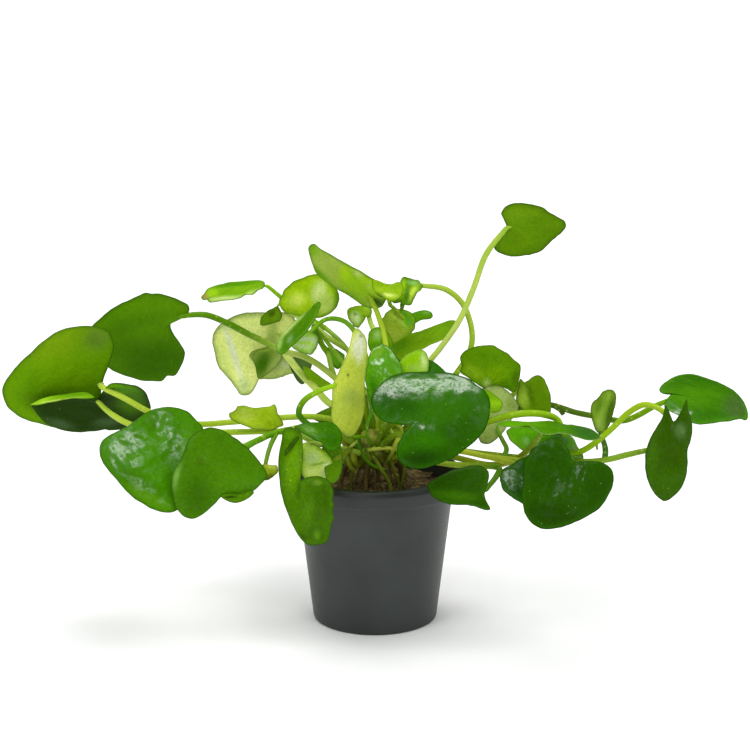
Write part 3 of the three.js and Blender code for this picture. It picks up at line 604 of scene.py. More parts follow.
          (497, 374, 12, 9, 0, "#74a004", 0.6), (516, 378, 4, 9, 10, "#3f6204", 0.8),
          (507, 386, 7, 5, 20, "#477a04", 0.7), (487, 384, 4, 5, 0, "#a4c060", 0.8)),
    },
    "leaf_24": {
        "base": (46.5, 0, 79), "tip": (56, 0, 68.5), "faces": (0, -0.8, 0.5), "widths": (5.5, 5), "slot": "olive",
        "veinShow": 0.7, "top": "#588004", "under": "#86a638", "rim": "#5f860c",
        "trace": ((519, 382), (520, 378), (524, 382), (529, 379), (534, 376), (539, 375), (544, 378), (547, 384),
          (550, 392), (551, 402), (551, 412), (548, 416), (540, 415), (532, 414), (526, 413), (520, 408),
          (516, 401), (517, 392), (518, 387)),
        "marks": ((522, 398, 7, 12, 0, "#8cac34", 0.9), (531, 395, 3, 15, -12, "#426400", 0.7)),
    },
    "leaf_25": {
        "base": (39, -5, 64), "tip": (40, -5, 78.5), "faces": (0, 0.9, 0.3), "widths": (6.5, 6.5), "slot": "pale",
        "top": "#86a848", "under": "#a9be6c", "rim": "#8fa45c",
        "trace": ((484, 389), (492, 386), (502, 387), (511, 393), (516, 400), (519, 408), (515, 416), (509, 424),
          (504, 432), (497, 439), (490, 444), (484, 444), (479, 441), (477, 430), (478, 410)),
        "marks": ((512, 405, 7, 9, 0, "#86a03c", 0.7), (490, 434, 10, 8, 0, "#8ca048", 0.6)),
    },
    "leaf_26": {
        "base": (36, -15, 72.5), "tip": (38, -15, 79.5), "faces": (0, -0.8, 0.5), "widths": (2.5, 3),
        "slot": "lime", "top": "#7cb404", "under": "#9cc43c", "rim": "#86b814",
        "trace": ((485, 390), (490, 391), (495, 395), (500, 399), (503, 404), (502, 408), (500, 411), (495, 413),
          (489, 413), (485, 408), (484, 398)),
        "marks": ((494, 404, 5, 4, 0, "#9fd21c", 0.6),),
    },
    "leaf_27": {
        "base": (51.5, -20, 70.9), "tip": (50, -39, 71.4), "faces": (0.12, 0, 1), "widths": (18, 14),
        "ripples": 5, "joint": (50.6, -32, 70.4), "top": "#4c8800", "under": "#6f9c34", "rim": "#b4d480",
        "rimWidth": 0.3,
        "trace": ((495, 424.4), (502, 422.5), (513, 421.3), (530, 421), (543, 421.7), (555, 422), (567, 423.3),
          (577, 425.3), (587, 428.3), (595, 432), (601, 437.5), (595, 439.5), (587, 439.5), (580, 438),
          (573, 436), (566, 435), (560, 433.7), (553, 434), (546, 433.7), (541, 433), (536, 430.5), (530, 427.4),
          (525, 426), (519, 427), (511, 426.4), (503, 425.6)),
        "marks": ((588, 434, 17, 9, 14, "#356a20", 0.95), (520, 424, 24, 4, 0, "#6aac06", 0.7)),
    },
    "leaf_28": {
        "base": (60, -14, 64), "tip": (42, -14, 66.5), "faces": (0, -0.6, 0.8), "widths": (7, 6),
        "top": "#5fa608", "under": "#7fae38", "rim": "#6aa420",
        "trace": ((506, 431), (513, 427), (525, 424), (540, 424), (555, 427), (566, 432), (573, 438), (577, 446),
          (584, 457), (581, 462), (573, 461), (563, 452), (550, 451), (540, 452), (524, 451), (516, 445),
          (510, 440), (507, 435)),
        "marks": ((578, 452, 9, 10, 0, "#7a9c5c", 0.8), (562, 438, 10, 5, 20, "#5c8c4c", 0.8),
          (526, 441, 3, 4, 0, "#8fc06c", 0.8)),
    },
    "leaf_29": {
        "base": (59.5, -45, 65.5), "tip": (50, -49, 46.5), "faces": (0, -0.85, 0.5), "widths": (13.5, 12),
        "slot": "deep", "cup": -14, "pucker": 0.3, "veinShow": 0.6, "top": "#245000", "under": "#4d8418",
        "rim": "#2a5c02",
        "trace": ((552, 438), (545, 440), (539, 444), (532, 449), (528, 455), (525, 461), (523, 469), (523, 478),
          (522, 487), (521, 496), (522, 505), (525, 515), (529, 521), (535, 526), (543, 529), (553, 529),
          (563, 527), (574, 523), (585, 518), (597, 511), (605, 502), (610, 494), (613, 485), (614, 477),
          (612, 470), (607, 465), (601, 462), (594, 461), (586, 461), (578, 461), (573, 460), (570, 453),
          (566, 445), (560, 439)),
        "marks": ((555, 515, 34, 12, 8, "#1b3c00", 0.7), (600, 490, 14, 22, 20, "#1f4800", 0.6),
          (550, 468, 24, 22, 0, "#1f4a00", 0.7)),
        "shines": ((563, 484, 6, 10, 40, 1.0), (556, 492, 5, 3, -40, 0.6), (535, 453, 5, 10, 35, 0.5),
          (581, 472, 6, 11, 0, 0.5), (526, 478, 4, 14, 0, 0.3)),
    },
    "leaf_30": {
        "base": (51.5, -35, 58.5), "tip": (37.5, -35, 57.5), "faces": (0, -0.86, 0.36), "widths": (8, 6),
        "slot": "deep", "cup": -20, "top": "#22560a", "under": "#3f7418", "rim": "#356c10",
        "trace": ((499, 476), (501, 471), (506, 467), (512, 464), (519, 459), (527, 456), (536, 458), (545, 466),
          (548, 478), (545, 490), (536, 499), (526, 504), (521, 503), (514, 499), (507, 494), (502, 489),
          (500, 482)),
        # the grey-blue mark at 512, 478 is a painted reflection over the wet patch
        "marks": ((512, 478, 9, 10, 0, "#4a7838", 0.6),),
        "shines": ((512, 479, 11, 13, 0, 1.0),),
    },
    "leaf_31": {
        "base": (33.5, -45, 56.5), "tip": (15.5, -45, 57.5), "faces": (0, -0.6, 0.8), "widths": (6.5, 9),
        "slot": "deep", "top": "#295600", "under": "#4a7c14", "rim": "#386808",
        "trace": ((427, 487), (428, 483), (431, 482), (435, 479), (442, 475), (451, 470), (461, 467), (470, 465),
          (478, 465), (484, 467), (488, 471), (489, 477), (488, 484), (486, 490), (485, 495), (487, 501),
          (490, 506), (491, 509), (487, 510), (481, 509), (474, 507), (464, 506), (452, 505), (442, 502),
          (435, 498), (430, 494)),
        "marks": ((455, 495, 24, 5, 6, "#467c04", 0.6), (484, 500, 5, 9, 0, "#245000", 0.7)),
    },
    "leaf_32": {
        "base": (72, -5, 63), "tip": (74, -5, 78), "faces": (0, -0.9, 0.3), "widths": (4.5, 4.5), "fold": 25,
        "slot": "olive", "top": "#8cb038", "under": "#8cb038", "rim": "#5c7e18",
        "trace": ((610, 389), (605, 390), (601, 392), (598, 397), (593, 402), (591, 408), (591, 415), (592, 422),
          (595, 430), (600, 435), (604, 434), (607, 429), (610, 424), (613, 416), (615, 408), (616, 402),
          (616, 396), (614, 391)),
        "marks": ((611, 413, 5, 20, 12, "#355c0a", 0.95), (599, 405, 4, 12, 20, "#557c14", 0.7),
          (600, 426, 3, 9, 0, "#9cb854", 0.8)),
    },
    "leaf_33": {
        "base": (93.5, -10, 76), "tip": (118, -10, 69.5), "faces": (0, -0.32, 0.95), "widths": (15, 11),
        "cup": -12, "arch": 26, "pucker": 0.22, "middle": (700, 400), "top": "#3c7600", "under": "#5c9c20",
        "rim": "#4a8c14",
        "trace": ((659, 390), (661, 386), (666, 382), (673, 378), (682, 375), (692, 374), (703, 376), (712, 379),
          (720, 382), (733, 390), (742, 400), (747, 410), (748, 417), (746, 421), (741, 419), (730, 421),
          (720, 422), (708, 424), (697, 425), (688, 422), (678, 416), (668, 411), (664, 406), (666, 399),
          (672, 391), (667, 392), (661, 393)),
        # the grey-green mark at 736, 408 is a painted reflection
        "marks": ((736, 408, 13, 15, 30, "#48682c", 0.95), (695, 381, 26, 5, 3, "#2f6a02", 0.7),
          (692, 396, 24, 11, 0, "#4a8600", 0.7), (712, 415, 22, 5, 0, "#2f6c04", 0.6)),
        "shines": ((690, 416, 26, 9, 5, 1.3), (737, 408, 12, 14, 30, 0.4)),
    },
    "leaf_34": {
        "base": (91.5, -25, 73), "tip": (89.5, -28, 47), "faces": (0, -1, 0.2), "widths": (7, 7.5), "fold": 15,
        "slot": "deep", "middle": (668, 448), "top": "#305400", "under": "#5a8420", "rim": "#34600a",
        "trace": ((665, 405), (662, 417), (654, 430), (648, 443), (645, 457), (646, 473), (650, 487), (658, 498),
          (665, 501), (673, 497), (682, 487), (687, 473), (688, 460), (688, 450), (691, 440), (693, 428),
          (691, 418), (688, 408), (687, 399), (684, 404), (680, 413), (674, 421), (671, 415), (668, 408)),
        # the grey-blue mark at 680, 430 is a painted reflection
        "marks": ((680, 430, 6, 7, 0, "#54763c", 0.9), (652, 460, 6, 30, 5, "#3f6e02", 0.6),
          (668, 480, 14, 16, 0, "#3a6a00", 0.5)),
        "shines": ((681, 430, 7, 8, 0, 0.5),),
    },
    "leaf_35": {
        "base": (-22.5, -45, 58.5), "tip": (-18, -47, 39.5), "faces": (0, -0.95, 0.2), "widths": (9, 7),
        "slot": "deep", "middle": (298, 494), "joint": (-25.5, -44.3, 60.5), "veinShow": 0.9, "top": "#426e00",
        "under": "#638c1c", "rim": "#3f6a08",
        "trace": ((283, 431), (285, 428), (291, 427), (297, 430), (302, 435), (303, 446), (303, 458), (302, 470),
          (301, 480), (307, 477), (317, 476), (325, 478), (331, 482), (334, 490), (333, 500), (335, 505),
          (333.5, 509), (333, 514), (335, 518), (332.5, 522), (331, 530), (328, 541), (322, 545), (310, 546),
          (302, 541), (296, 532), (290, 520), (285, 507), (281, 493), (279, 478), (278, 464), (279, 452),
          (281, 441)),
        "marks": ((293, 462, 9, 28, 4, "#629200", 0.9), (291, 446, 3, 12, 32, "#2c5602", 0.95),
          (318, 505, 12, 22, 0, "#365c00", 0.7), (288, 434, 6, 5, 0, "#5a9004", 0.6),
          (299, 487, 2.5, 12, 10, "#2f5404", 0.7), (326, 500, 4, 20, -8, "#2f5600", 0.6),
          (309, 510, 5, 14, 12, "#4f7e08", 0.6), (316, 536, 9, 9, 0, "#2c5000", 0.6),
          (317, 535, 3.5, 5, 0, "#5c8a14", 0.8), (302, 538, 5, 4, 40, "#2c4c04", 0.8),
          (318, 482, 4, 3, 0, "#7a9c2c", 0.5)),
    },
    "leaf_36": {
        "base": (-24.5, -35, 74), "tip": (-10.5, -35, 68), "faces": (0, -0.7, 0.7), "widths": (5, 4),
        "slot": "deep", "cup": -16, "top": "#387000", "under": "#5f9224", "rim": "#3f7808",
        "trace": ((294, 427), (301, 424), (315, 422), (327, 421), (334, 423), (339, 429), (342, 435), (342, 442),
          (340, 448), (336, 451), (330, 451), (325, 449), (321, 443), (315, 441), (309, 437), (302, 433),
          (297, 430)),
        # the lighter mark at 309, 430 is a painted highlight where the gloss lies
        "marks": ((309, 430, 9, 5, 15, "#5c9020", 0.9), (332, 440, 8, 8, 0, "#285e00", 0.6)),
        "shines": ((310, 431, 10, 6, 15, 0.25),),
    },
    "leaf_37": {
        "base": (-11.5, -30, 62.5), "tip": (-22.5, -30, 57), "faces": (0, 0.8, 0.5), "widths": (4.5, 4.5),
        # under is the pale under side, partly lightened as painted light shining through
        "slot": "pale", "cup": 8, "top": "#8fae3c", "under": "#b8d45c", "rim": "#86b01c",
        "trace": ((303, 446), (308, 444), (314, 444), (321, 448), (328, 453), (333, 460), (336, 467), (336, 474),
          (332, 480), (322, 483), (311, 482), (303, 477), (301, 467), (302, 456)),
        # the near-white mark at 328, 470 is a painted highlight
        "marks": ((328, 470, 5, 7, 10, "#f0f6dc", 0.95), (311, 472, 10, 4, -5, "#cfe07c", 0.9),
          (312, 458, 8, 6, -10, "#b4d08c", 0.8), (318, 464, 10, 1.2, -12, "#6f9c30", 0.8),
          (324, 451, 13, 3, 42, "#86b414", 0.9), (334, 467, 2.6, 12, -8, "#86b014", 0.9)),
    },
    "leaf_38": {
        "base": (42, 10, 127.5), "tip": (62, 10, 127), "faces": (0, 0.93, 0.35), "widths": (11, 8.7),
        "slot": "olive", "top": "#3f6a02", "under": "#5f8a06", "rim": "#466c06",
        "trace": ((501, 213), (505, 207), (512, 204), (520, 203), (530, 204), (538, 205), (545, 208), (552, 213),
          (560, 218), (565, 221), (566, 227), (562, 233), (556, 238), (549, 244), (541, 251), (533, 254),
          (523, 256), (512, 257), (503, 255), (497, 252), (494, 248), (496, 242), (500, 236), (505, 230),
          (506, 225), (503, 219)),
        "marks": ((545, 240, 26, 8, -35, "#4f7808", 0.5), (520, 215, 16, 8, 0, "#6c9612", 0.5)),
    },
    "leaf_39": {
        "base": (-31, 52, 77.5), "tip": (-32, 53, 67), "faces": (0, -1, 0.3), "widths": (9, 11), "slot": "pale",
        "top": "#ccdf80", "under": "#8fa84c", "rim": "#8fac4c",
        "trace": ((249, 356), (251, 352), (257, 349), (266, 347), (276, 345), (286, 347), (293, 355), (296, 365),
          (294, 373), (289, 375), (281, 378), (273, 379), (264, 379), (259, 379), (257, 374), (255, 367),
          (253, 362), (250, 359)),
        "marks": ((252, 355, 5, 5, 0, "#6f9428", 0.8), (276, 360, 12, 12, 0, "#a9bc64", 0.7),
          (268, 348, 18, 2.6, -6, "#c6dc70", 0.9), (284, 364, 6, 4, 30, "#e4f0bc", 0.7)),
    },
    "leaf_40": {
        "base": (89, -18, 62), "tip": (96, -18, 66), "widths": (2.5, 2.5), "top": "#5f8a1c", "under": "#7aa038",
    },
    "leaf_41": {
        "base": (-33.5, -40, 62.5), "tip": (-27.5, -40, 60), "widths": (2, 2), "slot": "olive", "top": "#8ca020",
        "under": "#8c9c24",
        "trace": ((263, 464), (267, 464.5), (272, 465), (277, 465), (278, 472), (273, 477), (268, 480),
          (264, 480), (262, 474), (261.5, 468)),
        "marks": ((272, 466, 6, 3, 10, "#c0d050", 0.9), (269, 478, 7, 4, -20, "#4f5f08", 0.9)),
    },
}


def frameOf(leaf):
    # its base, the ways along it, across it and up from it, and its length
    base = np.array(leaf["base"], float)
    along = np.array(leaf["tip"], float) - base
    length = np.linalg.norm(along)
    along = along / length
    up = np.array(leaf["faces"], float)
    up = unit(up - along * up.dot(along))
    return base, along, np.cross(up, along), up, length


def bezier(points, t):
    a, b, c, d = [np.array(p, float) for p in points]
    t = t[:, None]
    return a * (1 - t) ** 3 + 3 * b * t * (1 - t) ** 2 + 3 * c * t ** 2 * (1 - t) + d * t ** 3


def halfOutline(width, length, count):
    # a plain heart shape, for a leaf that the photo hardly shows
    widest = 0.4 * length
    point = 0.35
    lobeArc = ((0, 0), (-0.65, 0.12 * width), (-0.65, width), (widest, width))
    tipArc = (
        (widest, width),
        (widest + 0.55 * (length - widest), width),
        (length * (1 - 0.12 * point), width * (0.6 - 0.5 * point)),
        (length, 0),
    )
    first = count // 2
    return np.concatenate([
        bezier(lobeArc, np.linspace(0, 1, first + 1)),
        bezier(tipArc, np.linspace(0, 1, count - first + 1)[1:]),
    ])


def outlineOf(leaf, length, sectors):
    left, right = [halfOutline(width, length, sectors // 2) for width in leaf["widths"]]
    return np.concatenate([left, right[1:-1][::-1] * (1, -1)])


almostFlat = 0.01  # degrees


def bladePoint(leaf, frameValues, u, v, lift):
    # u along the midrib, v across it, lift off the middle surface
    base, along, side, up, length = frameValues
    halfWidth = np.where(v >= 0, *leaf["widths"])
    sign = np.sign(v)
    reach = np.abs(v)
    fold = math.radians(leaf["fold"])
    bend = math.radians(leaf["cup"] or almostFlat) / halfWidth
    slope = np.where(sign == 0, 0, fold + bend * reach)
    across = sign * (np.sin(fold + bend * reach) - math.sin(fold)) / bend - sign * np.sin(slope) * lift
    height = (math.cos(fold) - np.cos(fold + bend * reach)) / bend + np.cos(slope) * lift
    arch = math.radians(leaf["arch"])
    radius = length / (2 * math.sin(arch / 2))
    phi = arch * (u / length - 0.5)
    x = radius * (np.sin(phi) + math.sin(arch / 2)) + height * np.sin(phi)
    z = radius * (np.cos(phi) - math.cos(arch / 2)) + height * np.cos(phi)
    return base + x[:, None] * along + across[:, None] * side + z[:, None] * up


def rippleField(u, v, seed, size):
    # a smooth random height between about -1 and 1
    random = np.random.default_rng(seed)
    total = np.zeros_like(u)
    for _ in range(rippleWaves["count"]):
        angle = random.uniform(0, 2 * math.pi)
        pitch = size * random.uniform(rippleWaves["shortest"], rippleWaves["longest"])
        along = u * math.cos(angle) + v * math.sin(angle)
        total += np.sin(along * 2 * math.pi / pitch + random.uniform(0, looseTurn))
    return total / rippleWaves["level"]


def veinField(u, v):
    # ridges that spread from the stem's end like the fingers of a hand
    distance = np.hypot(u, v)
    angle = np.degrees(np.arctan2(v, u))
    total = np.zeros_like(u)
    for vein in veinRidges["angles"]:
        bent = angle - vein * (1 - veinRidges["bend"] * distance)
        offAxis = distance * np.abs(np.sin(np.radians(np.clip(bent, -90, 90))))
        total = np.maximum(total, np.exp(-(offAxis / veinRidges["width"]) ** 2))
    return total * np.clip(distance / veinRidges["rise"], 0, 1)


def softSpot(pixels, centreX, centreY, wide, high, turn):
    # 1 in the middle of an oval patch of the photo, 0 well outside it
    d = pixels - np.array([centreX, centreY], float)
    angle = math.radians(turn)
    x = d[:, 0] * math.cos(angle) + d[:, 1] * math.sin(angle)
    y = -d[:, 0] * math.sin(angle) + d[:, 1] * math.cos(angle)
    return np.exp(-((x / wide) ** 2 + (y / high) ** 2) ** 1.5)


def cameraRay(pixels):
    # from the camera through pixels of the photo: its place, and a direction for each
    forward = np.array([0, math.cos(tilt), -math.sin(tilt)])
    upwards = np.array([0, math.sin(tilt), math.cos(tilt)])
    offset = (np.asarray(pixels, float) - photo["size"] / 2) / (photo["lens"] / photo["sensor"] * photo["size"])
    ways = forward + offset[:, :1] * np.array([1, 0, 0]) - offset[:, 1:] * upwards
    return np.array(photo["target"]) - forward * photo["distance"], ways


def fromPhoto(pixel, depth):
    # the point at a pixel of the photo that lies at a depth along Y, in millimetres
    eye, ways = cameraRay([pixel])
    return eye + ways[0] * (depth - eye[1]) / ways[0][1]


def onBlade(leaf, frameValues, pixels):
    # where pixels of the photo fall on a blade, as distances along and across it
    base, along, side, up, _ = frameValues
    pixels = np.asarray(pixels, float)
    eye, ways = cameraRay(pixels)
    hit = eye + ways * ((base - eye).dot(up) / ways.dot(up))[:, None] - base
    flat = np.stack([hit.dot(along), hit.dot(side)], axis=1)
    nudge, rounds, leastArea, longestStep = 0.05, 6, 0.3, 2
    for _ in range(rounds):
        # a and b are how far the pixel moves for a millimetre along and across
        seen, seenAlong, seenAcross = [
            onPhoto(bladePoint(leaf, frameValues, *(flat + move).T, 0))
            for move in ((0, 0), (nudge, 0), (0, nudge))
        ]
        a, b = (seenAlong - seen) / nudge, (seenAcross - seen) / nudge
        miss = pixels - seen
        area = a[:, 0] * b[:, 1] - a[:, 1] * b[:, 0]
        area = np.where(np.abs(area) < leastArea, leastArea, area)
        stepAlong = miss[:, 0] * b[:, 1] - miss[:, 1] * b[:, 0]
        stepAcross = a[:, 0] * miss[:, 1] - a[:, 1] * miss[:, 0]
        step = np.stack([stepAlong, stepAcross], axis=1) / area[:, None]
        flat = flat + np.clip(step, -longestStep, longestStep)
    return flat


def tracedOutline(leaf, frameValues, sectors):
    # a smooth closed line through the traced pixels, in even steps, laid on the blade
    corners = np.array(leaf["trace"], float)
    before, after, beyond = [np.roll(corners, shift, 0) for shift in (1, -1, -2)]
    line = []
    t = np.linspace(0, 1, 12, endpoint=False)[:, None]
    for p0, p1, p2, p3 in zip(before, corners, after, beyond):
        line.append(0.5 * (2 * p1 + (p2 - p0) * t + (2 * p0 - 5 * p1 + 4 * p2 - p3) * t ** 2
                           + (3 * p1 - p0 - 3 * p2 + p3) * t ** 3))
    line = np.concatenate(line + [corners[:1]])
    travelled = np.concatenate([[0], np.cumsum(np.linalg.norm(np.diff(line, axis=0), axis=1))])
    even = np.linspace(0, travelled[-1], sectors, endpoint=False)
    pixels = np.stack([np.interp(even, travelled, line[:, c]) for c in range(2)], axis=1)
    return onBlade(leaf, frameValues, pixels)


def bladeMesh(name, leaf, seed):
    values = frameOf(leaf)
    length = values[4]
    big = length > blade["bigLength"] or leaf["widths"][0] > blade["bigWidth"]
    sectors = blade["sectors"] if big else blade["smallSectors"]
    rings = blade["rings"] if big else blade["smallRings"]
    if leaf["trace"]:
        outline = tracedOutline(leaf, values, sectors)
        centre = onBlade(leaf, values, [leaf["middle"]])[0] if leaf["middle"] else outline.mean(axis=0)
    else:
        outline = outlineOf(leaf, length, sectors)
        centre = np.array([0.3 * length, 0])
    index = np.arange(sectors)
    phase = 2 * math.pi * leaf["ripples"] * index / sectors
    random = np.random.default_rng(seed)
    frill = sum(
        np.sin(k * 2 * math.pi * index / sectors + random.uniform(0, looseTurn)) * leaf["frill"] / (1 + 0.12 * k)
        for k in blade["frillWaves"]
    )
    out = outline - centre
    far = np.linalg.norm(out, axis=1)
    out = out * (1 - (np.abs(frill) * np.clip(far / 6, 0, 1) / np.maximum(far, 2)))[:, None]
    steps = 1 - (1 - np.linspace(0, 1, rings + 1)) ** blade["ringSpread"]
    points, rim, under, flats = [], [], [], []

    def addRing(r, side):
        # r runs from 0 at the centre to 1 at the margin; side is 1 above, 0 on the margin, -1 below
        flat = centre + out * r
        u, v = flat[:, 0], flat[:, 1]
        half = leaf["thickness"] / 2 * math.sqrt(1 - r ** 8)
        vein = leaf["veins"] * veinField(u, v) * (1 - r)
        wide = leaf["pucker"] * rippleField(u, v, seed, blade["wideRipple"]) * (1 - r ** 4)
        fine = rippleField(u, v, seed + 100, blade["fineRipple"])
        relief = wide + blade["fineShare"] * leaf["pucker"] * fine * (1 - r ** 8)
        lift = side * half + leaf["wave"] * r * r * np.sin(phase) - vein + relief
        points.append(bladePoint(leaf, values, u, v, lift))
        rim.append((1 - r) * far)
        under.append(np.full(sectors, (1 - side) / 2))
        flats.append(flat)

    for r in steps[1:-1]:
        addRing(r, 1)
    addRing(1.0, 0)
    for r in steps[-2:0:-1]:
        addRing(r, -1)
    count = len(points)
    for side in (1, -1):
        u, v = centre[:1], centre[1:]
        relief = leaf["pucker"] * rippleField(u, v, seed, blade["wideRipple"])
        points.append(bladePoint(leaf, values, u, v, side * leaf["thickness"] / 2 + relief))
        rim.append(np.array([blade["farFromRim"]]))
        under.append(np.array([(1 - side) / 2]))
        flats.append(np.array([centre]))
    # faces between rings, which run outwards above, over the margin and inwards below; then both centres
    faces = []
    for a in range(count - 1):
        for i in range(sectors):
            j = (i + 1) % sectors
            faces.append((a * sectors + i, (a + 1) * sectors + i, (a + 1) * sectors + j, a * sectors + j))
    topPole = count * sectors
    last = (count - 1) * sectors
    for i in range(sectors):
        j = (i + 1) % sectors
        faces.append((topPole, i, j))
        faces.append((topPole + 1, last + j, last + i))
    vertices = np.concatenate(points)
    piece = addMesh(name, vertices, faces, leafMaterials["leaf_" + leaf["slot"]])
    mesh = bmesh.new()
    mesh.from_mesh(piece.data)
    bmesh.ops.recalc_face_normals(mesh, faces=mesh.faces)
    mesh.to_mesh(piece.data)
    mesh.free()
    paintBlade(piece, leaf, vertices, np.concatenate(rim), np.concatenate(under), np.concatenate(flats))
    return piece


def setAttribute(piece, name, values):
    # a number or a colour for each point
    values = np.asarray(values, np.float32)
    if values.ndim == 1:
        piece.data.attributes.new(name, "FLOAT", "POINT").data.foreach_set("value", values)
    else:
        colours = np.column_stack([values, np.ones(len(values), np.float32)])
        piece.data.attributes.new(name, "FLOAT_COLOR", "POINT").data.foreach_set("color", colours.ravel())


def paintBlade(piece, leaf, vertices, rim, under, flats):
    # rim is the distance from the margin, under is 1 on the lower side, flats are places on the blade
    top = np.array(linear(leaf["top"]))
    below = np.array(linear(leaf["under"]))
    tone = top + (below - top) * under[:, None]
    pixels = onPhoto(vertices)
    # the marks lay the leaf's own patches and also painted shade, shadow, highlights and reflections
    for *spot, colour, strength in leaf["marks"]:
        amount = strength * softSpot(pixels, *spot)[:, None]
        tone = tone + (np.array(linear(colour)) - tone) * amount
    if leaf["rim"]:
        amount = blade["rimStrength"] * np.exp(-(rim / leaf["rimWidth"]) ** 2)[:, None]
        tone = tone + (np.array(linear(leaf["rim"])) - tone) * amount
    tone = tone * (1 - blade["edgeShade"] * np.exp(-(rim / blade["edgeWidth"]) ** 2))[:, None]
    shine = np.zeros(len(vertices))
    for *spot, strength in leaf["shines"]:
        shine += strength * softSpot(pixels, *spot)
    setAttribute(piece, "tone", tone)
    setAttribute(piece, "shine", shine)
    setAttribute(piece, "alongBlade", flats[:, 0])
    setAttribute(piece, "acrossBlade", flats[:, 1])
    setAttribute(piece, "veinShow", np.full(len(vertices), leaf["veinShow"]))


print("leaves")
for number, (name, own) in enumerate(leaves.items()):
    leaf = {**plainLeaf, **own}
    piece = bladeMesh(name.replace("leaf", "blade"), leaf, blade["firstSeed"] + number)
    finished(piece, "leaf_" + leaf["slot"], name)


